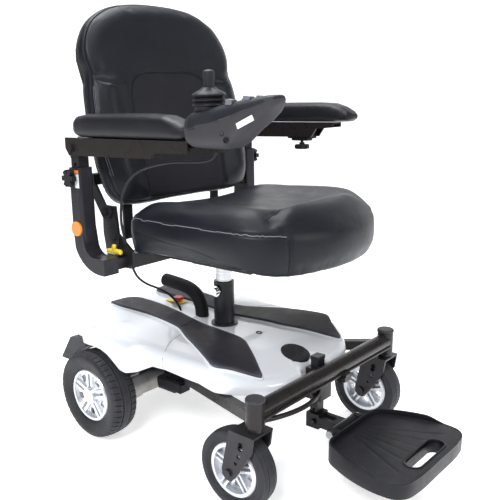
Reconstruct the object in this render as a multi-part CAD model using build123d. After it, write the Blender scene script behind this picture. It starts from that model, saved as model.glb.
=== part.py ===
from build123d import *
import math
import os

# Mid-size power wheelchair. mm, +Z up, floor at z = 0, the chair faces -Y,
# the occupant's right hand (joystick side) is -X.
# Every function works from the drive axle (y = 0); SHIFT_Y centres the finished
# assembly on the origin when it is written out.

SHIFT_Y = 325.0

TYRE_R = 114.0
TYRE_W = 75.0
RIM_R = 68.0
WHEEL_X = 252.5
AXLE_Z = 114.0
SHAFT_R = 10.0
RUN = 0.06

BAR_X = 267.0
BAR_Y = -526.0
BAR_Z = 229.0
BAR_R = 19.0
HEAD_R = 20.0
HEAD_BOT = 198.0
HEAD_TOP = 254.0
CAST_R = 89.0
CAST_W = 46.0
CAST_RIM = 61.0
CAST_TRAIL = 46.0
STEM_R = 10.0

POST_Y = -215.0
POST_R = 26.0
POST_TOP = 394.0
POST_IN_R = 20.5

STEP_Y = -498.0
HINGE_Y = -572.0
HINGE_Z = 110.0
PIN_R = 5.0

ARM_X = 296.0
ARM_Y = -46.0
LIFT_L = 8.0

BACK_TILT = 15.0
BACK_PIV_Y = -73.0
BACK_PIV_Z = 590.0
BACK_Y = -103.0
BACK_Z = 654.0

STICK_X = -300.0
STICK_Y = -449.0
STICK_Z = 822.0
POD_SLOPE = 12.0

PARTS = {}


def add(name, shape, slot_note=None):
    PARTS[name] = shape


def both(a, b):
    return Compound(children=list(a.solids()) + list(b.solids()))


def box(x0, x1, y0, y1, z0, z1):
    c = Pos((x0 + x1) / 2, (y0 + y1) / 2, (z0 + z1) / 2)
    return c * Box(abs(x1 - x0), abs(y1 - y0), abs(z1 - z0))


def cyl_z(x, y, z0, z1, r):
    return Pos(x, y, (z0 + z1) / 2) * Cylinder(r, z1 - z0)


def cyl_x(x0, x1, y, z, r):
    c = Pos((x0 + x1) / 2, y, z) * Rot(0, 90, 0)
    return c * Cylinder(r, abs(x1 - x0))


def prism_x(pts, x0, x1):
    # side outline given as (y, z) points, extruded along x
    pl = Plane(origin=(x0, 0, 0), x_dir=(0, 1, 0), z_dir=(1, 0, 0))
    face = pl * make_face(Polyline(*pts, close=True))
    return extrude(face, amount=x1 - x0, dir=(1, 0, 0))


def prism_z(pts, z0, z1):
    # plan outline given as (x, y) points, extruded upwards
    face = Pos(0, 0, z0) * make_face(Polyline(*pts, close=True))
    return extrude(face, amount=z1 - z0, dir=(0, 0, 1))


def prism_y(pts, y0, y1):
    # front outline given as (x, z) points, extruded along y
    pl = Plane(origin=(0, y0, 0), x_dir=(1, 0, 0), z_dir=(0, -1, 0))
    face = pl * make_face(Polyline(*pts, close=True))
    return extrude(face, amount=y1 - y0, dir=(0, 1, 0))


def bar(p0, p1, w, h):
    # rectangular bar between two points, w across, h upright
    a = Vector(*p0)
    b = Vector(*p1)
    d = (b - a).normalized()
    side = Vector(0, 0, 1).cross(d).normalized()
    pl = Plane(origin=(a + b) / 2, x_dir=side, z_dir=d)
    return pl * Box(w, h, (b - a).length)


def tube_path(pts, r):
    path = Spline(*pts)
    prof = Plane(origin=path @ 0, z_dir=path % 0) * Circle(r)
    return sweep(prof, path=path)


def soften(shape, edges, r):
    for k in (1.0, 0.6, 0.3):
        try:
            out = fillet(edges, r * k)
            if out.is_valid:
                return out
        except Exception:
            pass
    return shape


def mirrored(shape):
    return mirror(shape, about=Plane.YZ)


# ---------------------------------------------------------------- wheels

def ring(pts, x):
    # revolve a (radius, offset) outline about the x axis through (x, 0, 0)
    pl = Plane(origin=(x, 0, 0), x_dir=(0, 0, 1), z_dir=(0, 1, 0))
    face = pl * make_face(Polyline(*pts, close=True))
    return revolve(face, axis=Axis((x, 0, 0), (1, 0, 0)), revolution_arc=360)


def tyre_outline(r, ri, w, groove):
    h = w / 2
    sh = w * 0.2
    pts = [(ri, -h * 0.72), (r * 0.80, -h), (r - sh * 0.55, -h * 0.96)]
    pts += [(r - 3.0, -h * 0.76)]
    g = w * 0.17
    pts += [(r, -g - groove), (r - groove, -g - groove), (r - groove, -g), (r, -g)]
    pts += [(r, g), (r - groove, g), (r - groove, g + groove), (r, g + groove)]
    pts += [(r - 3.0, h * 0.76)]
    pts += [(r - sh * 0.55, h * 0.96), (r * 0.80, h), (ri, h * 0.72)]
    return pts


def drive_tyre():
    pts = tyre_outline(TYRE_R, RIM_R, TYRE_W, 3.5)
    return Pos(0, 0, AXLE_Z) * ring(pts, -WHEEL_X)


def drive_rim():
    # pressed rim with five split spokes, hub boss and a keyed shaft
    x_out = -WHEEL_X - 27.0
    barrel = [(60.0, -30.0), (66.0, -30.0), (68.0, -27.0), (68.0, 27.0)]
    barrel += [(66.0, 30.0), (60.0, 30.0)]
    rim = ring(barrel, -WHEEL_X)
    web = Pos(x_out + 8, 0, 0) * Rot(0, 90, 0) * Cylinder(61.0, 5.0)
    spokes = None
    for k in range(5):
        for off in (-7.5, 7.5):
            s = Pos(x_out + 5, off, 40) * Box(11.0, 8.0, 46.0)
            s = Rot(72.0 * k, 0, 0) * s
            spokes = s if spokes is None else spokes + s
    for k in range(5):
        win = Pos(x_out + 8, 0, 44) * Box(12.0, 5.0, 20.0)
        gap = Pos(x_out + 8, 0, 46) * Box(12.0, 17.0, 17.0)
        web = web - Rot(72.0 * k + 36.0, 0, 0) * gap
        web = web - Rot(72.0 * k, 0, 0) * win
    hub = cyl_x(x_out - 4, -WHEEL_X + 36.9, 0, 0, 22.0)
    cap = cyl_x(x_out - 7, x_out - 4, 0, 0, 19.0)
    shaft = cyl_x(-WHEEL_X + 36, -182, 0, 0, SHAFT_R)
    return Pos(0, 0, AXLE_Z) * (rim + web + spokes + hub + cap + shaft)


def caster_tyre():
    pts = tyre_outline(CAST_R, CAST_RIM, CAST_W, 2.2)
    return Pos(0, BAR_Y + CAST_TRAIL, CAST_R) * ring(pts, -BAR_X)


def caster_rim():
    barrel = [(52.0, -19.0), (59.0, -19.0), (61.0, -17.0), (61.0, 17.0)]
    barrel += [(59.0, 19.0), (52.0, 19.0)]
    rim = ring(barrel, -BAR_X)
    web = Pos(-BAR_X, 0, 0) * Rot(0, 90, 0) * Cylinder(53.0, 6.0)
    ribs = None
    for k in range(5):
        for off in (-6.0, 6.0):
            s = Pos(-BAR_X, off, 34) * Box(26.0, 5.0, 38.0)
            s = Rot(72.0 * k, 0, 0) * s
            ribs = s if ribs is None else ribs + s
        web = web - Rot(72.0 * k + 36.0, 0, 0) * (Pos(-BAR_X, 0, 38) * Box(12, 14, 14))
    hub = cyl_x(-BAR_X - 25.5, -BAR_X + 25.5, 0, 0, 17.0)
    body = rim + web + ribs + hub
    body = body - cyl_x(-BAR_X - 30, -BAR_X + 30, 0, 0, PIN_R + RUN)
    return Pos(0, BAR_Y + CAST_TRAIL, CAST_R) * body


def caster_fork():
    # bent plate: top web, two raked side plates, welded stem, axle bolt
    ay = BAR_Y + CAST_TRAIL
    side = [(-546, 188), (-483, 188), (ay + 17, 96), (ay + 16, 82), (ay + 6, 72)]
    side += [(ay - 8, 72), (ay - 18, 84), (-541, 150)]
    p = prism_x(side, -BAR_X - 33, -BAR_X - 28) + prism_x(side, -BAR_X + 28, -BAR_X + 33)
    p = p - cyl_x(-BAR_X - 40, -BAR_X + 40, ay, CAST_R, PIN_R)
    for yy, zz, rr in ((-500, 118, 4.0), (-508, 136, 5.0)):
        p = p - cyl_x(-BAR_X - 40, -BAR_X + 40, yy, zz, rr)
    slot = cyl_x(-BAR_X - 40, -BAR_X + 40, -512, 156, 6.0)
    slot += cyl_x(-BAR_X - 40, -BAR_X + 40, -514, 164, 6.0)
    p = p - slot
    top = box(-BAR_X - 33, -BAR_X + 33, -546, -483, 183, 188)
    top = top - cyl_z(-BAR_X, BAR_Y, 180, 190, 4.0)
    fork = p + top
    collar = cyl_z(-BAR_X, BAR_Y, 188, 196, 17.0)
    stem = cyl_z(-BAR_X, BAR_Y, 188, 248, STEM_R)
    axle = cyl_x(-BAR_X - 36, -BAR_X + 36, ay, CAST_R, PIN_R)
    axle += cyl_x(-BAR_X - 38.5, -BAR_X - 33, ay, CAST_R, 9.0)
    axle += cyl_x(-BAR_X + 33, -BAR_X + 38.5, ay, CAST_R, 9.0)
    return fork + collar + stem + axle


def antitip_wheel():
    w = ring([(5.0 + RUN, -10), (30, -10), (32, -8), (32, 8), (30, 10), (5.0 + RUN, 10)], -104)
    return Pos(0, 118, 47) * w


# ---------------------------------------------------------------- frames

def front_frame():
    f = cyl_x(-BAR_X + 5, BAR_X - 5, BAR_Y, BAR_Z, BAR_R)
    f = f - cyl_x(-BAR_X - 30, BAR_X + 30, BAR_Y, BAR_Z, BAR_R - 3.0)
    f += cyl_x(-BAR_X + 8, BAR_X - 8, BAR_Y - 16.0, BAR_Z - 13.0, 4.0)
    for s in (-1, 1):
        head = cyl_z(s * BAR_X, BAR_Y, HEAD_BOT, HEAD_TOP, HEAD_R)
        f += head
    for s in (-1, 1):
        rail = bar((s * 150, -225, 180), (s * 262, -509, 215), 22, 24)
        f += rail
    f += tube_path([(-252, -531, 206), (-180, -546, 199), (-95, -545, 194), (-17, -512, 190)], 5.5)
    f += box(-168, 168, -268, -243.5, 168, 192)
    f += box(-22, 22, -522, -480, 160, 236)
    for s in (-1, 1):
        f = f - cyl_z(s * BAR_X, BAR_Y, HEAD_BOT - 5, HEAD_TOP - 4, STEM_R + RUN)
    f = f - box(-13.1, 13.1, STEP_Y - 10.1, STEP_Y + 10.1, 100, 300)
    f = f - box(13, 30, STEP_Y - 7, STEP_Y + 7, 150, 206)
    clamp = box(30, 58, -553, -504, 199, 210) + cyl_x(34, 54, -547, 214, 7)
    clamp += cyl_z(44, -532, 190, 200, 7)
    f += clamp
    f += cyl_x(-30, -21, STEP_Y, 176, 7.5)
    return f


def barrel_caps():
    c = Pos(-BAR_X, BAR_Y, HEAD_TOP) * Cylinder(21.0, 6.5, align=(Align.CENTER, Align.CENTER, Align.MIN))
    c = soften(c, c.edges().filter_by(GeomType.CIRCLE).sort_by(Axis.Z)[-1:], 4.0)
    return both(c, mirrored(c))


def rear_frame():
    # ladder frame: two rails, cross members, post socket, battery tray,
    # motor hangers and anti-tip arms
    f = None
    for s in (-1, 1):
        x0 = s * 92
        x1 = s * 116
        r = box(x0, x1, -219.5, 116, 168, 190)
        f = r if f is None else f + r
        f += box(s * 100, s * 202, -75, 25, 163.5, 169)
        arm = bar((s * 82, 104, 176), (s * 82, 122, 40), 6, 20)
        arm += bar((s * 124, 104, 176), (s * 124, 122, 40), 6, 20)
        f += arm
        f += cyl_x(s * 79, s * 127, 118, 47, 5.0)
    f += box(-124, 124, 96, 118, 168, 190)
    f += box(-116, 116, -219.5, -176, 168, 190)
    f += box(-88, 88, -108, 96, 84, 88)
    f += box(-88, 88, -112, -108, 84, 190)
    f += box(-88, 88, 96, 100, 84, 190)
    f += box(-116, 116, -112, -106, 168, 190)
    f = f - cyl_z(0, POST_Y, 150, 200, POST_R)
    return f


def batteries():
    out = []
    for s in (-1, 1):
        b = box(s * 4, s * 80, -100, 88, 90, 250)
        b = soften(b, b.edges().filter_by(Axis.Z), 5)
        b += cyl_z(s * 24, 70, 250, 256, 6)
        b += cyl_z(s * 62, 70, 250, 256, 6)
        out.append(b)
    return both(out[0], out[1])


def controller():
    c = box(-164, -132, -208, -130, 136, 164)
    c = soften(c, c.edges().filter_by(Axis.Y), 4)
    c += box(-162, -134, -214, -208, 140, 160)
    c += box(-156, -138, -130, -120, 142, 156)
    c += box(-154, -104, -190, -150, 160, 167.5)
    return c


def gearmotor():
    gear = cyl_x(-207, -172, 0, AXLE_Z, 40) + cyl_x(-207, -172, -52, 125, 36)
    gear += box(-207, -172, -52, 0, 82, 158)
    gear = gear - cyl_x(-240, -178, 0, AXLE_Z, SHAFT_R + RUN)
    motor = cyl_x(-172, -112, -52, 125, 33)
    band = cyl_x(-176, -168, -52, 125, 34.5)
    cap = cyl_x(-112, -90, -52, 125, 29)
    foot = box(-205, -174, -70, -34, 150, 163.5)
    g = gear + motor + band + cap + foot
    for k in range(4):
        a = math.radians(45 + 90 * k)
        g += cyl_x(-171, -166, -52 + 30 * math.cos(a), 125 + 30 * math.sin(a), 3.5)
    return g


def rear_bumper():
    pts = [(28, 257), (95, 245), (141, 178), (104, 178)]
    for a in (34, 42, 50, 58, 66):
        t = math.radians(a)
        pts.append((121 * math.cos(t), AXLE_Z + 121 * math.sin(t)))
    pts.append((32, 232))
    side = prism_x(pts, -260, -218)
    rear = prism_x([(95, 245), (141, 178), (136, 176), (90, 242)], -220, 220)
    b = rear + side + mirrored(side)
    return b


# ---------------------------------------------------------------- body shell

TOP_LINE = [(128, 286), (95, 297), (0, 298), (-100, 291), (-180, 281), (-330, 279),
            (-390, 268), (-440, 252), (-485, 236), (-505, 222)]
PLAN = [(0, 128), (150, 126), (215, 108), (252, 72), (261, 30), (261, -105),
        (250, -160), (239, -200), (238, -385), (214, -430), (168, -476),
        (110, -499), (0, -505)]


def top_solid(dz, inset, zlow):
    side = [(y, z + dz) for y, z in TOP_LINE]
    side = [(160, zlow), (160, side[0][1])] + side + [(-530, side[-1][1] - 12), (-530, zlow)]
    a = prism_x(side, -300, 300)
    cross = [(0, zlow), (262, zlow), (262, 252 + dz), (250, 266 + dz), (235, 272 + dz)]
    cross += [(108, 299 + dz), (0, 300 + dz)]
    full = cross + [(-x, z) for x, z in reversed(cross[1:-1])]
    b = prism_y(full, -540, 170)
    half = [(max(x - inset, 0), y * (1 - inset / 300.0) if x == 0 else y) for x, y in PLAN]
    half = [(x, y - inset if y > 60 else y) for x, y in half]
    half = [(x, y + inset if y < -420 else y) for x, y in half]
    plan = half + [(-x, y) for x, y in reversed(half[1:-1])]
    c = prism_z(plan, zlow, 340)
    return (a & b) & c


def shroud_low_cut():
    # everything under the lower edge line of the side walls
    pts = [(200, 259), (92, 259), (40, 259)]
    for a in (72, 76, 82, 90, 98, 106, 114, 122, 130, 138, 143):
        t = math.radians(a)
        pts.append((126 * math.cos(t), AXLE_Z + 128 * math.sin(t)))
    pts += [(-118, 203), (-150, 209), (-176, 222), (-190, 232), (-240, 234), (-345, 229)]
    pts += [(-385, 219), (-440, 220), (-480, 214), (-560, 206), (-560, 20), (200, 20)]
    return prism_x(pts, -300, 300)


def shroud():
    outer = top_solid(0, 0, 190)
    inner = top_solid(-4.0, 4.0, 150)
    s = outer - inner - shroud_low_cut() - rear_bumper()
    s = s - cyl_z(0, POST_Y, 200, 320, POST_R + 0.5)
    s = s - cyl_z(0, -136.5, 200, 320, 23.0)
    s = s - box(-35, 35, -530, STEP_Y + 24, 150, 240)
    s = s - cyl_z(KNOB_X, KNOB_Y, 200, 320, 6.5)
    return s - deck_badge()


KNOB_X = 18.0
KNOB_Y = -30.0

TRIM = [(38, 58), (44, 84), (62, 104), (108, 116), (118, 60), (113, -60), (112, -160),
        (150, -225), (190, -300), (230, -380), (204, -404), (160, -466), (120, -412),
        (72, -342), (50, -165), (38, 0)]


def trim_piece(sign):
    plan = [(sign * x, y) for x, y in TRIM]
    t = top_solid(9.0, -0.5, 200) - top_solid(0, -2.0, 150)
    return t & prism_z(plan, 200, 340)


def deck_badge():
    nose = Pos(0, -436, 254.3) * Rot(-21.0, 0, 0)
    badge = nose * extrude(Ellipse(37, 34), amount=2.0)
    plug = cyl_z(0, -327, 279.0, 282, 8)
    return both(badge, plug)


def knob_label():
    return box(2, 34, -52, 4, 299.0, 299.8) - cyl_z(KNOB_X, KNOB_Y, 290, 305, 7)


def release_knob():
    k = cyl_z(KNOB_X, KNOB_Y, 286, 306, 6.0)
    k += cyl_z(KNOB_X, KNOB_Y, 304, 312, 11.0)
    for i in range(3):
        k += Pos(KNOB_X, KNOB_Y, 308) * Rot(0, 0, 60 * i) * Box(28, 7, 8)
    return k


# ---------------------------------------------------------------- centre post

def post_outer():
    p = cyl_z(0, POST_Y, 168, POST_TOP, POST_R)
    p += cyl_z(0, POST_Y, 281, 285, 34)
    p += box(-30, -20, -223, -207, 362, 382)
    p = p - cyl_z(0, POST_Y, 172, POST_TOP + 5, POST_IN_R + RUN)
    return p - cyl_x(-60, -10, POST_Y, 372, 4.0)


def post_bolt():
    b = cyl_x(-34, -20.7, POST_Y, 372, 4.0)
    b += cyl_x(-33, -30, POST_Y, 372, 14) + cyl_x(-40, -33, POST_Y, 372, 9)
    return b


def lift_handle():
    return tube_path([(0, -136, 262), (0, -137, 305), (0, -116, 341),
                      (0, -66, 356), (0, 4, 361)], 18.0)


def post_inner():
    p = cyl_z(0, POST_Y, 215, 468, POST_IN_R)
    return p - cyl_z(0, POST_Y, 210, 460, POST_IN_R - 3)


# ---------------------------------------------------------------- foot rest

def foot_stem():
    s = box(-13, 13, STEP_Y - 10, STEP_Y + 10, 96, 256)
    for k in range(8):
        s = s - cyl_x(-20, 20, STEP_Y, 116 + 16 * k, 3.5)
    s += box(-14, 14, STEP_Y - 11, STEP_Y + 11, 254, 263)
    s += box(-20, 20, STEP_Y - 18, STEP_Y + 16, 88, 124)
    s += box(-20, -9, HINGE_Y, STEP_Y - 16, 94, 118)
    s += box(9, 20, HINGE_Y, STEP_Y - 16, 94, 118)
    s += box(-9, 9, HINGE_Y + 8, HINGE_Y + 22, 94, 118)
    s += cyl_x(-41.5, 41.5, HINGE_Y, HINGE_Z, 11)
    s += cyl_x(-26, -19, STEP_Y - 4, 104, 7)
    return s - cyl_x(-50, 50, HINGE_Y, HINGE_Z, PIN_R + RUN)


def foot_pin():
    p = cyl_x(-60, 60, HINGE_Y, HINGE_Z, PIN_R)
    p += cyl_x(-63, -56, HINGE_Y, HINGE_Z, 9) + cyl_x(56, 63, HINGE_Y, HINGE_Z, 9)
    return p


FOOT = [(0, -589), (78, -590), (103, -597), (118, -612), (140, -660), (151, -705),
        (153, -750), (146, -778), (126, -794), (90, -799), (0, -800)]


def grown(pts, d, cy=-698.0):
    out = []
    for x, y in pts:
        fx = 0 if x == 0 else x - d
        sy = y + d if y < cy else y - d
        out.append((max(fx, 0), sy))
    return out


def full_plan(half):
    return half + [(-x, y) for x, y in reversed(half[1:-1])]


def footplate():
    wall = prism_z(full_plan(FOOT), 76, 110)
    hollow = prism_z(full_plan(grown(FOOT, 4.0)), 70, 105)
    rim = prism_z(full_plan(FOOT), 110, 122) - prism_z(full_plan(grown(FOOT, 6.0)), 100, 130)
    rim = rim - box(-200, 200, -900, -707, 100, 140)
    slot = box(-52, 52, -782, -748, 60, 130)
    slot += cyl_z(-52, -765, 60, 130, 17) + cyl_z(52, -765, 60, 130, 17)
    collar = box(-54, 54, -786, -744, 80, 108)
    collar += cyl_z(-54, -765, 80, 108, 21) + cyl_z(54, -765, 80, 108, 21)
    p = wall - hollow + rim + collar - slot
    for k in (-2, -1, 0, 1, 2):
        rib = Pos(0, -600, 110) * Rot(0, 0, 13.0 * k) * (Pos(0, -66, 0) * Box(3, 112, 2.4))
        p += rib
    for s in (-1, 1):
        lug = box(s * 42.5, s * 55, -594, HINGE_Y, 99, 121)
        lug += cyl_x(s * 42.5, s * 55, HINGE_Y, HINGE_Z, 12)
        p += lug
    return p - cyl_x(-70, 70, HINGE_Y, HINGE_Z, PIN_R)


# ---------------------------------------------------------------- seat

def seat_base():
    s = cyl_z(0, POST_Y, 436, 476, 31) - cyl_z(0, POST_Y, 430, 470, POST_IN_R + RUN)
    s += box(-195, 195, -440, -140, 491, 497)
    s += box(-150, 150, -262, -176, 474, 491)
    for k in (-1, 1):
        s += box(k * 60, k * 237, -137, -103, 460, 494)
        s += box(k * 60, k * 90, -180, -130, 474, 494)
        side = prism_x([(-150, 463), (-150, 505), (-104, 540), (-97, 604), (-52, 604),
                        (-50, 540), (-62, 463)], 238, 244)
        s += side if k > 0 else mirrored(side)
        s += box(k * 230, k * 240, -137, -103, 460, 494)
        s += cyl_x(k * 240, k * 256, BACK_PIV_Y, BACK_PIV_Z, PIN_R)
        s += cyl_x(k * 252.6, k * 258, BACK_PIV_Y, BACK_PIV_Z, 9)
        s += box(k * 140, k * 160, -430, -260, 476, 491)
        s = s - box(k * 100, k * 262, -132.6, -107.4, 464.4, 489.6)
    s += cyl_x(-258, -242, -105, 528, 3.0)
    return s


CUSH = [(-125, 504), (-125, 560), (-140, 587), (-175, 602), (-300, 616), (-430, 620),
        (-500, 615), (-545, 598), (-568, 570), (-575, 540), (-572, 505), (-555, 484),
        (-520, 477), (-485, 482), (-450, 498.5), (-300, 498.5), (-160, 498.5)]
CUSH_PLAN = [(0, -125), (222, -125), (237, -140), (237, -430), (228, -470), (205, -503),
             (165, -532), (100, -560), (0, -575)]


def seat_cushion():
    side = prism_x(CUSH, -237, 237)
    cross = [(0, 460), (230, 460), (237, 480), (237, 572), (225, 590), (190, 606), (120, 616),
             (0, 622)]
    full = cross + [(-x, z) for x, z in reversed(cross[1:-1])]
    c = side & prism_z(full_plan(CUSH_PLAN), 440, 660)
    return c & prism_y(full, -600, -100)


BACK = [(0, -52), (160, -52), (206, -42), (232, -14), (250, 22), (258, 70), (258, 170),
        (250, 225), (241, 260), (244, 296), (246, 326), (240, 352), (222, 384), (190, 411),
        (146, 425), (0, 430)]


def back_plane(d):
    # plane parallel to the front of the back rest, d mm behind it
    t = math.radians(BACK_TILT)
    n = (0, math.cos(t), -math.sin(t))
    o = (0, BACK_Y + d * math.cos(t), BACK_Z - d * math.sin(t))
    return Plane(origin=o, x_dir=(-1, 0, 0), z_dir=n)


def back_cushion():
    face = make_face(Polyline(*full_plan(BACK), close=True))
    b = extrude(back_plane(0) * face, amount=56)
    b = soften(b, b.faces().sort_by(Axis.Y)[0].edges(), 12)
    return b


def back_frame():
    # moulded rear pan with two side hinge arms and two uprights
    face = make_face(Polyline(*full_plan([(max(x - 22, 0), y + (18 if y < 0 else -18))
                                          for x, y in BACK]), close=True))
    f = extrude(back_plane(56.2) * face, amount=8)
    for s in (-1, 1):
        arm = bar((s * 249, BACK_PIV_Y, BACK_PIV_Z - 10), (s * 249, -14, 668), 6, 26)
        arm += cyl_x(s * 246, s * 252, BACK_PIV_Y, BACK_PIV_Z, 16)
        arm += box(s * 200, s * 252, -36, -14, 650, 676)
        f += arm
        f += box(s * 146, s * 174, -46.5, -40.5, 508, 640)
    f = f - cyl_x(-300, 300, BACK_PIV_Y, BACK_PIV_Z, PIN_R + RUN)
    return f


def recline_lever():
    lev = box(-249, -245, -113, -97, 500, 536)
    lev += box(-266, -245, -123, -87, 496, 506)
    lev += box(-266, -259, -123, -87, 496, 514)
    return lev - cyl_x(-256, -240, -105, 528, 3.0 + RUN)


# ---------------------------------------------------------------- arms

def arm_post():
    y0 = ARM_Y - 20
    y1 = ARM_Y + 20
    pts = [(y1, 697), (y1, 549)]
    for k in range(1, 10):
        t = math.radians(10 * k)
        pts.append((y1 - 92 + 92 * math.cos(t), 549 - 92 * math.sin(t)))
    pts += [(-136, 457), (-136, 495), (-100, 495)]
    for k in range(1, 6):
        t = math.radians(18 * k)
        pts.append((-100 + 32 * math.sin(t), 527 - 32 * math.cos(t)))
    pts += [(y0, 697)]
    p = prism_x(pts, -ARM_X - 21, -ARM_X + 21)
    vert = p.edges().filter_by(Axis.X, reverse=True)
    p = soften(p, [e for e in vert if e.length > 60], 8)
    p += box(-ARM_X + 15, -112, -132.5, -107.5, 464.5, 489.5)
    p = p - box(-ARM_X - 14.1, -ARM_X + 14.1, ARM_Y - 14.1, ARM_Y + 14.1, 560, 720)
    p = p - cyl_x(-ARM_X - 40, -ARM_X - 10, ARM_Y, 675, 4.0)
    return p


def arm_tube():
    t = box(-ARM_X - 14, -ARM_X + 14, ARM_Y - 14, ARM_Y + 14, 580, 722)
    t += box(-ARM_X - 14, -ARM_X + 14, ARM_Y - 14, ARM_Y + 16, 718, 762)
    for k in range(5):
        t = t - cyl_x(-ARM_X - 20, -ARM_X - 8, ARM_Y, 640 + 16 * k, 4.2)
    return t - cyl_x(-ARM_X - 30, -ARM_X + 30, ARM_Y + 2, 740, PIN_R + RUN)


def arm_bracket(sign):
    # folded channel under the pad, open below, with the pivot bolt across it
    x0 = -ARM_X - 20
    x1 = -ARM_X + 20
    side = [(-22, 764), (-22, 740), (-34, 724), (-300, 727), (-316, 738), (-405, 740), (-405, 764)]
    end = -405
    if sign > 0:
        end = -350
        side = side[:3] + [(-285, 727), (-300, 748), (end, 752), (end, 764)]
    b = prism_x(side, x0, x0 + 4) + prism_x(side, x1 - 4, x1)
    b += box(x0, x1, end, -70, 760, 764)
    b = b - cyl_x(x0 - 5, x1 + 5, ARM_Y + 2, 740, PIN_R)
    pin = cyl_x(x0 - 3, x1 + 3, ARM_Y + 2, 740, PIN_R)
    pin += cyl_x(x0 - 7, x0, ARM_Y + 2, 740, 9) + cyl_x(x1, x1 + 6, ARM_Y + 2, 740, 9)
    b = b + pin
    if sign < 0:
        b += box(x0 + 6, x1 - 6, -478, -330, 745, 752)
        b += box(x0 + 4, x1 - 4, -345, -325, 745, 761)
    else:
        b += box(x0 + 4, x1 - 4, -278, -208, 722, 760)
        b += box(x0 + 8, x1 - 8, -268, -218, 716, 722)
        b = b - cyl_z(-ARM_X, -243, 700, 740, 4.0)
        b = mirrored(b)
    return b


def arm_pad():
    side = [(-62, 766), (-58, 790), (-64, 806), (-82, 813), (-200, 815), (-300, 815),
            (-352, 811), (-388, 797), (-402, 782), (-398, 770), (-388, 765)]
    p = prism_x(side, -ARM_X - 30, -ARM_X + 30)
    try:
        p = fillet(p.faces().sort_by(Axis.Z)[-1].edges().filter_by(Axis.X, reverse=True), 9)
    except Exception:
        pass
    return p


def arm_knob():
    k = cyl_x(-ARM_X - 36, -ARM_X - 14.5, ARM_Y, 675, 3.9)
    k += cyl_x(-ARM_X - 40, -ARM_X - 24, ARM_Y, 675, 9)
    for i in range(3):
        lobe = Pos(-ARM_X - 34, ARM_Y, 675) * Rot(60 * i, 0, 0) * Box(12, 38, 11)
        k += lobe
    return k


def reflector():
    return cyl_x(-ARM_X - 26, -ARM_X - 21, ARM_Y - 2, 558, 17)


def clamp_knob():
    k = cyl_z(ARM_X, -243, 700, 738, 3.9)
    k += cyl_z(ARM_X, -243, 694, 706, 16) + cyl_z(ARM_X, -243, 706, 711, 7)
    for i in range(4):
        k += Pos(ARM_X, -243, 700) * Rot(0, 0, 45 * i) * Box(38, 9, 10)
    return k


# ---------------------------------------------------------------- hand control

def pod():
    side = [(-416, 757), (-426, 752), (-512, 752), (-526, 760), (-560, 792), (-590, 806),
            (-608, 822), (-613, 835), (-606, 842), (-590, 845), (-530, 838), (-484, 830),
            (-430, 821), (-416, 815), (-407, 788)]
    p = prism_x(side, -340, -260)
    plan = [(-300, -406), (-318, -406), (-332, -414), (-338, -440), (-340, -500), (-334, -560),
            (-322, -596), (-300, -614)]
    plan = plan + [(-600 - x, y) for x, y in reversed(plan[1:-1])]
    p = p & prism_z(plan, 700, 900)
    p = p - cyl_z(STICK_X, STICK_Y, 792, 860, 24) - cyl_z(STICK_X, STICK_Y, 826, 860, 32)
    for dy, dx in BUTTONS:
        p = p - button_shape(dx, dy, 7.2, 7.2, -8, 12)
    return p


BUTTONS = [(-520, -322), (-520, -278), (-556, -318), (-556, -282)]


def button_shape(x, y, wx, wy, z0, z1):
    zc = 832 + (-y - 500) * math.tan(math.radians(POD_SLOPE)) * 0.62
    loc = Pos(x, y, zc) * Rot(7.5, 0, 0)
    return loc * (Pos(0, 0, (z0 + z1) / 2) * Box(wx * 2, wy * 2, z1 - z0))


def button(i):
    y, x = BUTTONS[i]
    return button_shape(x, y, 7.0, 7.0, -5.0, 4.5)


def joystick():
    s = cyl_z(STICK_X, STICK_Y, 806, 862, 5.0)
    s += Pos(STICK_X, STICK_Y, 806) * Sphere(9.0)
    s += cyl_x(STICK_X - 15, STICK_X + 15, STICK_Y, 806, 2.5)
    s += cyl_z(STICK_X, STICK_Y, 861, 892, 11.0)
    s = soften(s, s.edges().filter_by(GeomType.CIRCLE).sort_by(Axis.Z)[-1:], 4)
    return s


def boot():
    pl = Plane(origin=(STICK_X, STICK_Y, 0), x_dir=(1, 0, 0), z_dir=(0, -1, 0))
    prof = [(5.3, 860.6), (13, 860.6), (29, 851), (31, 847), (24, 844), (24, 842), (29, 839),
            (24, 836), (24, 834), (30, 831.5), (31, 829), (31, 826.4), (23.6, 826.4),
            (23.6, 812), (20.5, 812), (20.5, 846), (5.3, 856)]
    face = pl * make_face(Polyline(*prof, close=True))
    return revolve(face, axis=Axis((STICK_X, STICK_Y, 0), (0, 0, 1)), revolution_arc=360)


# ---------------------------------------------------------------- cables

def bend_radii(pts):
    out = []
    for i in range(1, len(pts) - 1):
        a = Vector(*pts[i]) - Vector(*pts[i - 1])
        b = Vector(*pts[i + 1]) - Vector(*pts[i])
        turn = math.radians(a.get_angle(b))
        out.append(round(0.45 * min(a.length, b.length) / math.tan(turn / 2), 1))
    return out


def cable(pts, r):
    radii = bend_radii(pts)
    print("cable radii", radii)
    path = FilletPolyline(*pts, radius=radii)
    prof = Plane(origin=path @ 0, z_dir=path % 0) * Circle(r)
    tube = sweep(prof, path=path)
    print("cable length", round(path.length, 1), "volume ratio",
          round(tube.volume / (math.pi * r * r * path.length), 4))
    return tube


CABLE_ARM = [(-277, -446, 751), (-276, -441, 733), (-274, -418, 724), (-270, -372, 720),
             (-265, -318, 718), (-262, -258, 709), (-260, -205, 695), (-259, -165, 670),
             (-259, -142, 636), (-259, -134, 592), (-259, -136, 556), (-257, -146, 524)]
CABLE_BASE = [(-250, -156, 468), (-232, -144, 446), (-204, -130, 424), (-170, -114, 404),
              (-132, -98, 386), (-92, -88, 366), (-60, -86, 342), (-44, -94, 318),
              (-40, -98, 300)]


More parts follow.
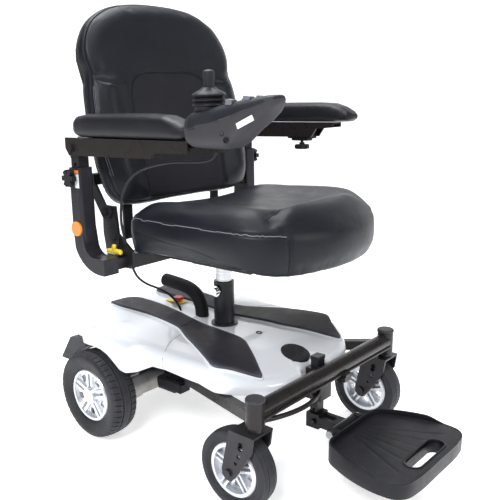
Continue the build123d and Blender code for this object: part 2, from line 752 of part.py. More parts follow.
def build():
    add("front_frame", front_frame())
    add("rear_frame", rear_frame())
    add("barrel_caps", barrel_caps())
    add("shroud", shroud())
    add("trim_r", trim_piece(-1))
    add("trim_l", trim_piece(1))
    add("rear_bumper", rear_bumper())
    add("batteries", batteries())
    add("controller", controller())
    g = gearmotor()
    add("gearmotor_r", g)
    add("gearmotor_l", mirrored(g))
    add("lift_handle", lift_handle())
    add("post_outer", post_outer())
    add("post_bolt", post_bolt())
    add("deck_badge", deck_badge())
    add("knob_label", knob_label())
    add("release_knob", release_knob())
    for name, shape in (("tyre", drive_tyre()), ("rim", drive_rim()), ("fork", caster_fork()),
                        ("caster_tyre", caster_tyre()), ("caster_rim", caster_rim()),
                        ("antitip_wheel", antitip_wheel()), ("arm_post", arm_post()),
                        ("arm_tube", arm_tube()), ("arm_pad", arm_pad()),
                        ("arm_knob", arm_knob()), ("reflector", reflector())):
        add(name + "_r", shape)
        up = LIFT_L if name in ("arm_tube", "arm_pad") else 0.0
        add(name + "_l", Pos(0, 0, up) * mirrored(shape))
    add("foot_stem", foot_stem())
    add("footplate", footplate())
    add("foot_pin", foot_pin())
    add("post_inner", post_inner())
    add("seat_base", seat_base())
    add("seat_cushion", seat_cushion())
    add("back_frame", back_frame())
    add("back_cushion", back_cushion())
    add("recline_lever", recline_lever())
    add("arm_bracket_r", arm_bracket(-1))
    add("arm_bracket_l", Pos(0, 0, LIFT_L) * arm_bracket(1))
    add("clamp_knob", Pos(0, 0, LIFT_L) * clamp_knob())
    add("pod", pod())
    add("joystick", joystick())
    add("boot", boot())
    for i, n in enumerate(("power", "horn", "slower", "faster")):
        add("button_" + n, button(i))
    add("cable_arm", cable(CABLE_ARM, 3.0))
    add("cable_base", cable(CABLE_BASE, 3.0))


def write_all():
    os.makedirs("parts", exist_ok=True)
    for name, shape in PARTS.items():
        moved = shape.moved(Location((0, SHIFT_Y, 0)))
        export_step(moved, "parts/" + name + ".step")
        bb = moved.bounding_box()
        print(f"{name:16s} solids {len(moved.solids())} vol {moved.volume / 1000:9.1f} cm3",
              [round(v) for v in (*bb.min, *bb.max)])


build()
write_all()
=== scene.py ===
import math

import bmesh
import bpy
import numpy as np
from mathutils import Matrix, Vector
from mathutils.geometry import delaunay_2d_cdt


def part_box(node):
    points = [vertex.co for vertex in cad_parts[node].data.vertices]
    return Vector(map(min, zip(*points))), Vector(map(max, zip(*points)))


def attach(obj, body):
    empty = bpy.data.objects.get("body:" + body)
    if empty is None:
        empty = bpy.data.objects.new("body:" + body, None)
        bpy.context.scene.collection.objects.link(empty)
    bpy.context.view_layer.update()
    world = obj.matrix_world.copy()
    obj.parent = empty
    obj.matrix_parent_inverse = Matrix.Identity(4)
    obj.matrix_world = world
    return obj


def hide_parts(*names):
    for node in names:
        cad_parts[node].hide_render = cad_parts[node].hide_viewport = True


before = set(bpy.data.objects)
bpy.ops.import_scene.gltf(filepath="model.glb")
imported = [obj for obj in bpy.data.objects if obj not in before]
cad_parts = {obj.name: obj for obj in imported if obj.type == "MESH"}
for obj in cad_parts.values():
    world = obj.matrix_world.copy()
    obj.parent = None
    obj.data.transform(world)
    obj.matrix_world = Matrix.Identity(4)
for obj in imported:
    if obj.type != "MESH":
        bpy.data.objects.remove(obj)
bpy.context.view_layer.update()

MM = 0.001
SHIFT = 325.0       # the drive axle stands this far (mm) behind the frame's origin
SIDES = ((-1, "r"), (1, "l"))

# the view that the picture was taken from
VIEW_ANGLES = (-46.47, 14.51, -1.55)        # azimuth, elevation and roll in degrees
VIEW_PLACE = (-1.24283, -0.97768, 0.84535)
VIEW_LENS = 48.68
VIEW_SHIFT = (0.106, 0.0432)

# main sizes of the chair, in mm about the drive axle
TILT = math.radians(13.0)           # lean of the back rest
BACK_O = (0.0, -103.0, 654.0)       # foot of the back rest's face
DRIVE_X, DRIVE_R, DRIVE_W = 252.5, 114, 75
CASTER_X, CASTER_Y, CASTER_R, CASTER_W = 267, -480, 89, 46
ARM_X = 296                         # middle of each arm
LEFT_ARM_UP = 8.0                   # the left arm stands this much higher
STICK_X, STICK_Y = -300, -449       # the joystick, and the middle of its pod
CABLE_D = 0.006                     # both cables, in metres

# the inflated covers: how far a point may move (m), and the pressure
COVER_CAP, COVER_PRESSURE = 0.0035, 2.0


def pt(x, y, z):
    """A point in mm about the drive axle, as metres in the shared frame."""
    return Vector((x, y + SHIFT, z)) * MM


def add(name, data):
    o = bpy.data.objects.new(name, data)
    bpy.context.scene.collection.objects.link(o)
    return o


# ---- camera, stage, light

def camera():
    az, el, roll = (math.radians(v) for v in VIEW_ANGLES)
    back = Vector((math.sin(az) * math.cos(el), -math.cos(az) * math.cos(el), math.sin(el)))
    right0 = Vector((math.cos(az), math.sin(az), 0))
    up0 = back.cross(right0)
    right = math.cos(roll) * right0 + math.sin(roll) * up0
    up = -math.sin(roll) * right0 + math.cos(roll) * up0
    data = bpy.data.cameras.new("view")
    data.lens = VIEW_LENS
    data.sensor_width = 36.0
    data.shift_x, data.shift_y = VIEW_SHIFT
    cam = add("view", data)
    m = Matrix((right, up, back)).transposed().to_4x4()
    m.translation = Vector(VIEW_PLACE)
    cam.matrix_world = m
    bpy.context.scene.camera = cam


def area(name, place, aim, size, power, tint=(1, 1, 1)):
    data = bpy.data.lights.new(name, "AREA")
    data.shape = "RECTANGLE"
    data.size, data.size_y = size
    data.energy = power
    data.color = tint
    o = add(name, data)
    o.location = place
    o.rotation_euler = (Vector(aim) - Vector(place)).to_track_quat("-Z", "Y").to_euler()


def lights():
    world = bpy.data.worlds.new("studio")
    world.use_nodes = True
    bg = world.node_tree.nodes["Background"]
    bg.inputs["Color"].default_value = (1.0, 1.0, 1.0, 1)
    bg.inputs["Strength"].default_value = 0.14
    bpy.context.scene.world = world
    bpy.context.scene.view_settings.view_transform = "Standard"
    area("key", (-2.3, -0.9, 2.5), (0, 0, 0.4), (1.1, 1.1), 92, (0.98, 0.99, 1.0))
    area("top", (0.3, 0.6, 2.9), (0, 0, 0.4), (1.8, 1.4), 88, (0.95, 0.97, 1.0))
    area("front", (0.9, -2.9, 1.7), (0, 0, 0.45), (1.4, 1.0), 34)


def stage(mat):
    """A white floor that sweeps up into a wall behind the chair."""
    me = bpy.data.meshes.new("floor")
    n, far, rise, bend = 24, 6.0, 5.0, 1.5
    prof = [(-far, 0.0), (-2.0, 0.0), (2.0, 0.0)]
    prof += [(far - bend + bend * math.sin(t), bend - bend * math.cos(t))
             for t in [math.pi / 2 * k / n for k in range(n + 1)]]
    prof.append((far, rise))
    # the sweep rises away from the camera, along the view's ground direction
    d = Vector((0.725, 0.689, 0))
    s = Vector((0.689, -0.725, 0))
    verts, faces = [], []
    for u, z in prof:
        for w in (-9.0, 9.0):
            verts.append(d * u + s * w + Vector((0, 0, z - 0.0005)))
    for i in range(len(prof) - 1):
        faces.append((2 * i, 2 * i + 1, 2 * i + 3, 2 * i + 2))
    me.from_pydata(verts, [], faces)
    for p in me.polygons:
        p.use_smooth = True
    me.materials.append(mat)
    add("floor", me)


# ---- materials

def node(nt, kind, **values):
    """A new shader node; sockets among the values are linked to it, the rest are set."""
    n = nt.nodes.new("ShaderNode" + kind)
    for key, v in values.items():
        if isinstance(v, bpy.types.NodeSocket):
            nt.links.new(v, n.inputs[key])
        else:
            n.inputs[key].default_value = v
    return n


def material(name, color, rough=0.5, metal=0.0, coat=0.0, coat_rough=0.1, grain=None,
             mottle=(14.0, 0.12), rough_var=0.08, cells=None, stretch=(1, 1, 1), edge=None,
             spec=None, dents=None):
    """grain, cells, dents: (scale per metre, bump distance in metres)."""
    m = bpy.data.materials.new(name)
    m.use_nodes = True
    nt = m.node_tree
    b = nt.nodes["Principled BSDF"]
    b.inputs["Metallic"].default_value = metal
    b.inputs["Coat Weight"].default_value = coat
    b.inputs["Coat Roughness"].default_value = coat_rough
    if spec is None:
        spec = 0.5 if metal or max(color) > 0.2 else 0.22
    b.inputs["Specular IOR Level"].default_value = spec
    co = node(nt, "TexCoord").outputs["Object"]
    if stretch != (1, 1, 1):
        co = node(nt, "Mapping", Scale=stretch, Vector=co).outputs["Vector"]

    def noise(scale, detail=3.0, roughness=0.55):
        return node(nt, "TexNoise", Scale=scale, Detail=detail, Roughness=roughness,
                    Vector=co).outputs["Fac"]

    def ramp(fac, stops):
        r = node(nt, "ValToRGB", Fac=fac)
        e = r.color_ramp.elements
        while len(e) < len(stops):
            e.new(0.5)
        for k, (p, c) in enumerate(stops):
            e[k].position = p
            e[k].color = (*c, 1)
        return r.outputs["Color"]

    dark = tuple(c * (1 - mottle[1]) for c in color)
    light = tuple(min(1.0, c * (1 + mottle[1])) for c in color)
    base = ramp(noise(mottle[0]), [(0.3, dark), (0.7, light)])
    # painted highlight: where Pointiness marks a sharp convex edge, the base colour is mixed
    # towards the lighter edge colour
    if edge:
        geo = node(nt, "NewGeometry")
        painted_edge_highlight = ramp(geo.outputs["Pointiness"], [(0.52, (0, 0, 0)), (0.6, (1, 1, 1))])
        mix = node(nt, "Mix")
        mix.data_type = "RGBA"
        nt.links.new(painted_edge_highlight, mix.inputs["Factor"])
        nt.links.new(base, mix.inputs["A"])
        mix.inputs["B"].default_value = (*edge, 1)
        base = mix.outputs["Result"]
    nt.links.new(base, b.inputs["Base Color"])
    rr = ramp(noise(mottle[0] * 2.3, 4.0), [(0.25, (rough - rough_var,) * 3),
                                            (0.75, (rough + rough_var,) * 3)])
    nt.links.new(rr, b.inputs["Roughness"])
    normal = None

    def bump(height, dist, normal):
        under = {"Normal": normal} if normal else {}
        return node(nt, "Bump", Distance=dist, Strength=1.0, Height=height,
                    **under).outputs["Normal"]

    if dents:
        normal = bump(noise(dents[0], 2.0), dents[1], normal)
    if grain:
        normal = bump(noise(grain[0], 2.5, 0.6), grain[1], normal)
    if cells:
        v = node(nt, "TexVoronoi", Scale=cells[0], Vector=co)
        v.feature = "DISTANCE_TO_EDGE"
        c = ramp(v.outputs["Distance"], [(0.0, (0, 0, 0)), (0.12, (1, 1, 1))])
        normal = bump(c, cells[1], normal)
    if normal:
        nt.links.new(normal, b.inputs["Normal"])
    return m


def perforated(name, color, pitch=0.0024):
    """Vinyl with rows of small pin holes."""
    m = material(name, color, rough=0.5, mottle=(9.0, 0.1), spec=0.2)
    nt = m.node_tree

    def calc(operation, *values):
        n = node(nt, "Math")
        n.operation = operation
        for put_in, v in zip(n.inputs, values):
            if isinstance(v, float):
                put_in.default_value = v
            else:
                nt.links.new(v, put_in)
        return n.outputs[0]

    sep = node(nt, "SeparateXYZ", Vector=node(nt, "TexCoord").outputs["Object"])
    waves = [calc("SINE", calc("MULTIPLY", sep.outputs[axis], 2 * math.pi / pitch))
             for axis in ("X", "Z")]
    bump = node(nt, "Bump", Distance=0.00012, Height=calc("MULTIPLY", *waves))
    bump.invert = True
    nt.links.new(bump.outputs["Normal"], nt.nodes["Principled BSDF"].inputs["Normal"])
    return m


MAT = {
    "white": material("white_shell", (0.76, 0.785, 0.83), 0.2, coat=0.7, coat_rough=0.06,
                      dents=(20, 0.0004), rough_var=0.04, mottle=(5, 0.02)),
    # the trim's lighter edge colour is a painted highlight on its sharp edges
    "trim": material("trim_charcoal", (0.020, 0.019, 0.026), 0.5, spec=0.25, grain=(1500, 0.00025),
                     rough_var=0.06, edge=(0.10, 0.10, 0.12)),
    "bumper": material("bumper_charcoal", (0.045, 0.045, 0.052), 0.5, grain=(1300, 0.00022)),
    "barpaint": material("bar_paint", (0.016, 0.013, 0.013), 0.30, coat=0.1, coat_rough=0.25,
                         grain=(700, 0.00002), mottle=(14, 0.12)),
    "cap": material("cap_plastic", (0.040, 0.040, 0.045), 0.45, grain=(1100, 0.00015)),
    "fork": material("fork_paint", (0.022, 0.021, 0.024), 0.34, grain=(900, 0.0001),
                     coat=0.1, coat_rough=0.25, mottle=(30, 0.2)),
    "black": material("black_paint", (0.012, 0.012, 0.014), 0.32, coat=0.1, coat_rough=0.22,
                      grain=(900, 0.00006), mottle=(30, 0.2)),
    "post": material("post_paint", (0.016, 0.016, 0.021), 0.36, coat=0.12, coat_rough=0.25,
                     grain=(900, 0.00008), mottle=(30, 0.18)),
    # the tyre's lighter edge colour is a painted highlight on its sharp edges
    "tyre": material("tyre_rubber", (0.024, 0.024, 0.029), 0.55, spec=0.28, grain=(1200, 0.0002),
                     mottle=(25, 0.25), edge=(0.08, 0.08, 0.085)),
    "rim": material("rim_silver", (0.68, 0.70, 0.74), 0.33, metal=0.7, grain=(1400, 0.00005),
                    mottle=(30, 0.06)),
    "steel": material("steel", (0.70, 0.71, 0.73), 0.22, metal=1.0, grain=(900, 0.00004)),
    "brushed": material("brushed_steel", (0.50, 0.51, 0.53), 0.3, metal=1.0,
                        grain=(60, 0.00006), stretch=(1, 1, 14)),
    "alloy": material("cast_alloy", (0.30, 0.29, 0.275), 0.45, metal=0.8, grain=(500, 0.0002),
                      mottle=(30, 0.2)),
    "vinyl": material("vinyl_black", (0.0060, 0.0068, 0.0115), 0.33, spec=0.25,
                      cells=(620, 0.00012), dents=(16, 0.0012), mottle=(8, 0.2), rough_var=0.07),
    "panel": perforated("vinyl_panel", (0.012, 0.012, 0.017)),
    "pad": material("pad_vinyl", (0.009, 0.009, 0.0125), 0.35, spec=0.28,
                    cells=(700, 0.0001), mottle=(10, 0.18)),
    # pale bluish line colour: on the seat's side welts it is a painted highlight along the seam's
    # crest; the back's twin stitch lines are drawn in it too
    "pale_thread_and_highlight": material("pale_thread_and_highlight", (0.16, 0.165, 0.19), 0.35, grain=(900, 0.0001)),
    "thread": material("seam_dark", (0.008, 0.008, 0.010), 0.6, grain=(900, 0.0001)),
    "pod": material("pod_plastic", (0.015, 0.016, 0.021), 0.45, grain=(1700, 0.00022),
                    mottle=(40, 0.2)),
    "podlow": material("pod_lower", (0.038, 0.037, 0.043), 0.5, grain=(1700, 0.00022)),
    "stick": material("stick_rubber", (0.018, 0.018, 0.023), 0.42, grain=(1500, 0.0001)),
    "foam": material("foam_grip", (0.014, 0.014, 0.016), 0.6, grain=(900, 0.0004)),
    "cable": material("cable_black", (0.018, 0.018, 0.020), 0.4, grain=(900, 0.0001)),
    "foot": material("foot_plastic", (0.011, 0.011, 0.014), 0.40, grain=(1200, 0.00025),
                     mottle=(20, 0.2)),
    "case": material("case_black", (0.014, 0.014, 0.017), 0.45, grain=(900, 0.0002)),
    "red": material("knob_red", (0.62, 0.03, 0.03), 0.35, grain=(900, 0.0001)),
    "yellow": material("yellow", (0.80, 0.60, 0.04), 0.38, grain=(900, 0.0001)),
    "amber": material("reflector_amber", (0.80, 0.25, 0.01), 0.25, coat=0.7, cells=(420, 0.0003)),
    "label": material("label_blank", (0.82, 0.84, 0.84), 0.35, grain=(900, 0.00004),
                      mottle=(60, 0.03)),
    "orange": material("label_orange", (0.80, 0.22, 0.05), 0.35, grain=(900, 0.00004)),
    "button": material("button_grey", (0.16, 0.17, 0.19), 0.4, grain=(1500, 0.00012)),
    "badge": material("badge_black", (0.012, 0.010, 0.014), 0.15, coat=0.6, mottle=(40, 0.1)),
    "floor": material("studio_white", (0.97, 0.97, 0.97), 0.85, mottle=(0.7, 0.004),
                      rough_var=0.02, spec=0.1),
}
_floor = MAT["floor"].node_tree.nodes["Principled BSDF"]
_floor.inputs["Emission Color"].default_value = (1, 1, 1, 1)
_floor.inputs["Emission Strength"].default_value = 0.62


# the CAD pieces that stay visible, by name without _r or _l
NODE_MATS = {name: key for key, names in {
    "barpaint": "front_frame arm_bracket",
    "black": "rear_frame foot_stem seat_base arm_tube",
    "cap": "barrel_caps",
    "bumper": "rear_bumper",
    "case": "batteries controller back_frame arm_knob clamp_knob",
    "alloy": "gearmotor",
    "post": "post_outer arm_post",
    "steel": "post_bolt foot_pin",
    "brushed": "post_inner",
    "badge": "deck_badge",
    "yellow": "knob_label recline_lever",
    "red": "release_knob",
    "rim": "rim caster_rim",
    "fork": "fork",
    "tyre": "antitip_wheel",
    "amber": "reflector",
    "button": "button_power button_horn button_slower button_faster",
}.items() for name in names.split()}


def dress_nodes():
    for name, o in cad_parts.items():
        stem = name if name in NODE_MATS else name.rsplit("_", 1)[0]
        key = NODE_MATS.get(stem)
        if key:
            for s in o.material_slots:
                s.material = MAT[key]


# ---- shape helpers

def spline(points, n, closed=False):
    """n points evenly along a smooth curve through the given ones."""
    p = np.array(points, float)
    if closed:
        p = np.vstack([p[-2:], p, p[:3]])
    d = np.maximum(np.sqrt(np.linalg.norm(np.diff(p, axis=0), axis=1)), 1e-6)
    t = np.concatenate([[0], np.cumsum(d)])
    m = np.gradient(p, t, axis=0)
    a, b = (2, len(p) - 3) if closed else (0, len(p) - 1)
    tt = np.linspace(t[a], t[b], 60 * len(p))
    i = np.clip(np.searchsorted(t, tt, side="right") - 1, 0, len(p) - 2)
    h = (t[i + 1] - t[i])[:, None]
    u = ((tt - t[i])[:, None]) / h
    q = ((2 * u**3 - 3 * u**2 + 1) * p[i] + (u**3 - 2 * u**2 + u) * h * m[i]
         + (-2 * u**3 + 3 * u**2) * p[i + 1] + (u**3 - u**2) * h * m[i + 1])
    s = np.concatenate([[0], np.cumsum(np.linalg.norm(np.diff(q, axis=0), axis=1))])
    at = np.linspace(0, s[-1], n + 1)[:-1] if closed else np.linspace(0, s[-1], n)
    return np.stack([np.interp(at, s, q[:, k]) for k in range(p.shape[1])], axis=1)


def table(pairs, v):
    """A smooth curve through (key, value) pairs, read at v."""
    q = spline(sorted(pairs), 200)
    return np.interp(v, q[:, 0], q[:, 1])


def ease(a, b, v):
    """0 at a, 1 at b, smooth between; a may be the larger."""
    t = np.clip((np.asarray(v, float) - a) / (b - a), 0, 1)
    return t * t * (3 - 2 * t)


def mirror(half):
    """A closed outline from the points of its +x half, the first and last on the middle line."""
    half = list(half)
    return half + [(-x, y) for x, y in reversed(half[1:-1])]


def outward(loop):
    """Unit normals in the plane of a closed loop, pointing out."""
    t = np.roll(loop, -1, axis=0) - np.roll(loop, 1, axis=0)
    n = np.stack([t[:, 1], -t[:, 0]], axis=1)
    n /= np.linalg.norm(n, axis=1)[:, None]
    c = loop - loop.mean(axis=0)
    return n if (n * c).sum() > 0 else -n


def circle(x, y, rx, ry, n):
    """An outline of n - 1 points round an ellipse."""
    return [(x + rx * math.cos(t), y + ry * math.sin(t))
            for t in np.linspace(0, 2 * math.pi, n)[:-1]]


def piece(name, verts, faces, mat, body, nodes=(), sharp=35.0):
    me = bpy.data.meshes.new(name)
    me.from_pydata([Vector(v) for v in verts], [], faces)
    bm = bmesh.new()
    bm.from_mesh(me)
    bmesh.ops.remove_doubles(bm, verts=bm.verts, dist=1e-6)
    bmesh.ops.recalc_face_normals(bm, faces=bm.faces)
    bm.to_mesh(me)
    bm.free()
    me.polygons.foreach_set("use_smooth", [True] * len(me.polygons))
    me.set_sharp_from_angle(angle=math.radians(sharp))
    me.materials.append(MAT[mat])
    o = add(name, me)
    settle(o, body, nodes)
    return o


def settle(o, body, nodes=()):
    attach(o, body)
    if nodes:
        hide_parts(*nodes)


def quads(rings, n, caps):
    """Faces between closed rings of n points, with a cap at either end."""
    faces = []
    for r in range(rings - 1):
        for i in range(n):
            j = (i + 1) % n
            faces.append((r * n + i, r * n + j, (r + 1) * n + j, (r + 1) * n + i))
    if caps[0]:
        faces.append(tuple(range(n)))
    if caps[1]:
        faces.append(tuple((rings - 1) * n + i for i in range(n)))
    return faces


def loft(name, rings, mat, body, nodes=(), caps=(True, True), sharp=35.0):
    """Skins closed rings of mm points."""
    verts = [pt(*v) for ring in rings for v in ring]
    return piece(name, verts, quads(len(rings), len(rings[0]), caps), mat, body, nodes,
                 sharp)


def slab(name, outline, low, high, mat, body, nodes=(), bevel=2.0, step=9.0, holes=()):
    """A plate over an outline; low and high give z for arrays of x and y."""
    loops = [np.array(outline, float)] + [np.array(h, float) for h in holes]
    pts, edges, tops = [], [], []
    for k, loop in enumerate(loops):
        n = outward(loop) * (1 if k == 0 else -1)
        for inset in (0.0, bevel):
            ring = loop - n * inset
            first = len(pts)
            pts += [tuple(p) for p in ring]
            tops += [bevel if inset == 0 else 0.0] * len(ring)
            edges += [(first + i, first + (i + 1) % len(ring)) for i in range(len(ring))]
    outer = loops[0]
    lo, hi = outer.min(axis=0), outer.max(axis=0)
    for x in np.arange(lo[0] + step / 2, hi[0], step):
        for y in np.arange(lo[1] + step / 2, hi[1], step):
            d = np.array([np.linalg.norm(l - (x, y), axis=1).min() for l in loops])
            if d.min() > step * 0.6 + bevel:
                pts.append((x, y))
                tops.append(0.0)
    v2, _, f2, orig, _, _ = delaunay_2d_cdt([Vector(p) for p in pts], edges, [], 0, 1e-4)
    drop = np.array([tops[o[0]] if o else 0.0 for o in orig])
    xy = np.array([(v.x, v.y) for v in v2])

    def inside(p, loop):
        x, y = loop[:, 0], loop[:, 1]
        x2, y2 = np.roll(x, -1), np.roll(y, -1)
        hit = ((y > p[1]) != (y2 > p[1])) & (p[0] < (x2 - x) * (p[1] - y) / (y2 - y + 1e-12) + x)
        return hit.sum() % 2 == 1

    keep = []
    for f in f2:
        c = xy[list(f)].mean(axis=0)
        if inside(c, loops[0]) and not any(inside(c, h) for h in loops[1:]):
            keep.append(tuple(f))
    zt = high(xy[:, 0], xy[:, 1]) - drop
    zb = low(xy[:, 0], xy[:, 1])
    n = len(xy)
    verts = [pt(*p, z) for p, z in zip(xy, zt)] + [pt(*p, z) for p, z in zip(xy, zb)]
    faces = keep + [tuple(n + i for i in reversed(f)) for f in keep]
    count = {}
    for f in keep:
        for a, b in zip(f, f[1:] + f[:1]):
            count[(a, b)] = count.get((a, b), 0) + 1
    for a, b in count:
        if (b, a) not in count:
            faces.append((b, a, n + a, n + b))
    return piece(name, verts, faces, mat, body, nodes)


def sweep(name, path, radii, mat, body, nodes=(), n=28, cap=0):
    """A round bar along mm points; cap rounds both ends over that length."""
    p = np.array(path, float)
    if cap:
        seg = np.concatenate([[0], np.cumsum(np.linalg.norm(np.diff(p, axis=0), axis=1))])
        ends = [seg[-1] - cap + cap * math.sin(math.pi / 2 * k / 8) for k in range(9)]
        starts = [cap - cap * math.cos(math.pi / 2 * k / 8) for k in range(9)]
        at = np.concatenate([starts, np.linspace(cap, seg[-1] - cap, len(p))[1:-1], ends])
        p = np.stack([np.interp(at, seg, p[:, k]) for k in range(3)], axis=1)
        edge = np.minimum(at, seg[-1] - at)
        scale = np.where(edge < cap, np.sqrt(np.maximum(1 - (1 - edge / cap) ** 2, 1e-4)), 1.0)
    else:
        scale = np.ones(len(p))
    t = np.gradient(p, axis=0)
    t /= np.linalg.norm(t, axis=1)[:, None]
    ref = np.array([1.0, 0.0, 0.0])
    if abs(t[0] @ ref) > 0.9:
        ref = np.array([0.0, 0.0, 1.0])
    rings = []
    r = radii if np.ndim(radii) else np.full(len(p), float(radii))
    if len(r) != len(p):
        r = np.interp(np.linspace(0, 1, len(p)), np.linspace(0, 1, len(r)), r)
    for i in range(len(p)):
        ref = ref - t[i] * (ref @ t[i])
        ref /= np.linalg.norm(ref)
        b = np.cross(t[i], ref)
        rings.append([p[i] + r[i] * scale[i] * (math.cos(a) * ref + math.sin(a) * b)
                      for a in np.linspace(0, 2 * math.pi, n, endpoint=False)])
    return loft(name, rings, mat, body, nodes)


def bead(name, path, radius, mat, body, closed=False):
    """A thin welt or seam line through mm points, as a tube mesh."""
    p = np.array(path, float)
    if closed:
        t = np.roll(p, -1, axis=0) - np.roll(p, 1, axis=0)
    else:
        t = np.gradient(p, axis=0)
    t /= np.linalg.norm(t, axis=1)[:, None]
    rings = []
    for i in range(len(p)):
        ref = np.array([0.0, 0.0, 1.0]) if abs(t[i][2]) < 0.8 else np.array([0.0, 1.0, 0.0])
        u = np.cross(t[i], ref)
        u /= np.linalg.norm(u)
        w = np.cross(t[i], u)
        rings.append([p[i] + radius * (math.cos(a) * u + math.sin(a) * w)
                      for a in np.linspace(0, 2 * math.pi, 8, endpoint=False)])
    if closed:
        rings.append(rings[0])
    return loft(name, rings, mat, body, caps=(not closed, not closed))


def lathe(name, profile, center, axis, mat, body, nodes=(), n=96, shape=None):
    """profile: (radius, along) in mm; axis "x" or "z"; shape(radius, along, angle) -> radius."""
    rings = []
    for r, a in profile:
        ring = []
        for k in range(n):
            th = 2 * math.pi * k / n
            rr = shape(r, a, th) if shape else r
            if axis == "x":
                ring.append((center[0] + a, center[1] + rr * math.cos(th),
                             center[2] + rr * math.sin(th)))
            else:
                ring.append((center[0] + rr * math.cos(th), center[1] + rr * math.sin(th),
                             center[2] + a))
        rings.append(ring)
    return loft(name, rings, mat, body, nodes, caps=(profile[0] != profile[-1],) * 2)


def coords(o):
    a = np.empty(len(o.data.vertices) * 3)
    o.data.vertices.foreach_get("co", a)
    return a.reshape(-1, 3)


def normals(o):
    a = np.empty(len(o.data.vertices) * 3)
    o.data.vertices.foreach_get("normal", a)
    return a.reshape(-1, 3)


def put(o, co):
    o.data.vertices.foreach_set("co", co.ravel())
    o.data.update()


def press(o, lines, depth, width):
    """Sinks a seam along each line of mm points into the skin."""
    co, no = coords(o), normals(o)
    sink = np.zeros(len(co))
    for line in lines:
        q = np.array([pt(*p) for p in line])
        near = np.full(len(co), 9.0)
        for a, b in zip(q[:-1], q[1:]):
            ab = b - a
            if ab @ ab < 1e-12:
                continue
            t = np.clip(((co - a) @ ab) / (ab @ ab), 0, 1)
            near = np.minimum(near, np.linalg.norm(co - (a + t[:, None] * ab), axis=1))
        sink = np.maximum(sink, depth * np.exp(-(near / width) ** 2))
    put(o, co - no * sink[:, None])


def onto(o, line, lift=0.0):
    """Moves mm points to the nearest place on the skin of a piece, as mm points."""
    out = []
    for p in line:
        _, loc, nor, _ = o.closest_point_on_mesh(pt(*p))
        q = (loc + nor * lift * 0.001) * 1000
        out.append((q.x, q.y - SHIFT, q.z))
    return out


def swell(o, voxel=0.005, frames=20):
    """Inflates a closed cover as cloth, then keeps each point near where it began."""
    bpy.context.view_layer.objects.active = o
    for x in bpy.context.selected_objects:
        x.select_set(False)
    o.select_set(True)
    rm = o.modifiers.new("voxels", "REMESH")
    rm.mode = "VOXEL"
    rm.voxel_size = voxel
    bpy.ops.object.modifier_apply(modifier=rm.name)
    start = coords(o).copy()
    cl = o.modifiers.new("cover", "CLOTH")
    st = cl.settings
    st.quality = 5
    st.mass = 0.4
    st.tension_stiffness = 25
    st.compression_stiffness = 25
    st.bending_stiffness = 1.5
    st.use_pressure = True
    st.uniform_pressure_force = COVER_PRESSURE
    st.effector_weights.gravity = 0.0
    cl.point_cache.frame_start = 1
    cl.point_cache.frame_end = frames
    scene = bpy.context.scene
    for f in range(1, frames + 1):
        scene.frame_set(f)
    dg = bpy.context.evaluated_depsgraph_get()
    ev = o.evaluated_get(dg)
    got = np.empty(len(start) * 3)
    ev.data.vertices.foreach_get("co", got)
    got = got.reshape(-1, 3)
    o.modifiers.remove(cl)
    scene.frame_set(1)
    move = got - start
    far = np.linalg.norm(move, axis=1)
    far = np.maximum(far, 1e-9)
    put(o, start + move * (np.minimum(far, COVER_CAP) / far)[:, None])
    sm = o.modifiers.new("relax", "SMOOTH")
    sm.factor = 0.5
    sm.iterations = 5
    bpy.ops.object.modifier_apply(modifier=sm.name)
    sub = o.modifiers.new("finer", "SUBSURF")
    sub.levels = 1
    bpy.ops.object.modifier_apply(modifier=sub.name)
    o.data.polygons.foreach_set("use_smooth", [True] * len(o.data.polygons))
    o.data.update()


# ---- body shell

TOP_LINE = [(128, 286), (95, 297), (0, 298), (-100, 291), (-180, 281), (-330, 279),
            (-390, 268), (-440, 252), (-485, 236), (-505, 222)]
SHELL = [(0, 128), (80, 127), (150, 123), (205, 106), (232, 72), (240, 30), (240, -60),
         (240, -200), (239, -340), (232, -395), (212, -430), (168, -472), (110, -496), (50, -504),
         (0, -505)]
LOW = [(140, 259), (40, 257), (36, 241), (20, 241), (0, 242), (-30, 240), (-55, 231),
       (-80, 216), (-98, 203), (-118, 201), (-150, 208), (-176, 221), (-195, 231), (-240, 234),
       (-345, 229), (-385, 219), (-440, 216), (-480, 210), (-510, 206)]


def deck_z(x, y):
    """Height of the deck: the lower of its long profile and its cross profile, blended."""
    a = table(TOP_LINE, y)
    b = np.interp(np.abs(x), [0, 108, 235, 262], [303, 299.5, 272, 262])
    k = 7.0
    h = np.clip(0.5 + 0.5 * (b - a) / k, 0, 1)
    return b * (1 - h) + a * h - k * h * (1 - h)


def above(off):
    """A slab's face at this height over the deck."""
    return lambda x, y: deck_z(x, y) + off


def fender(y, z):
    """How far the shell bulges out over the drive wheel."""
    return 21.0 * ease(-172, -122, y) * ease(284, 262, z) * ease(112, 60, y)


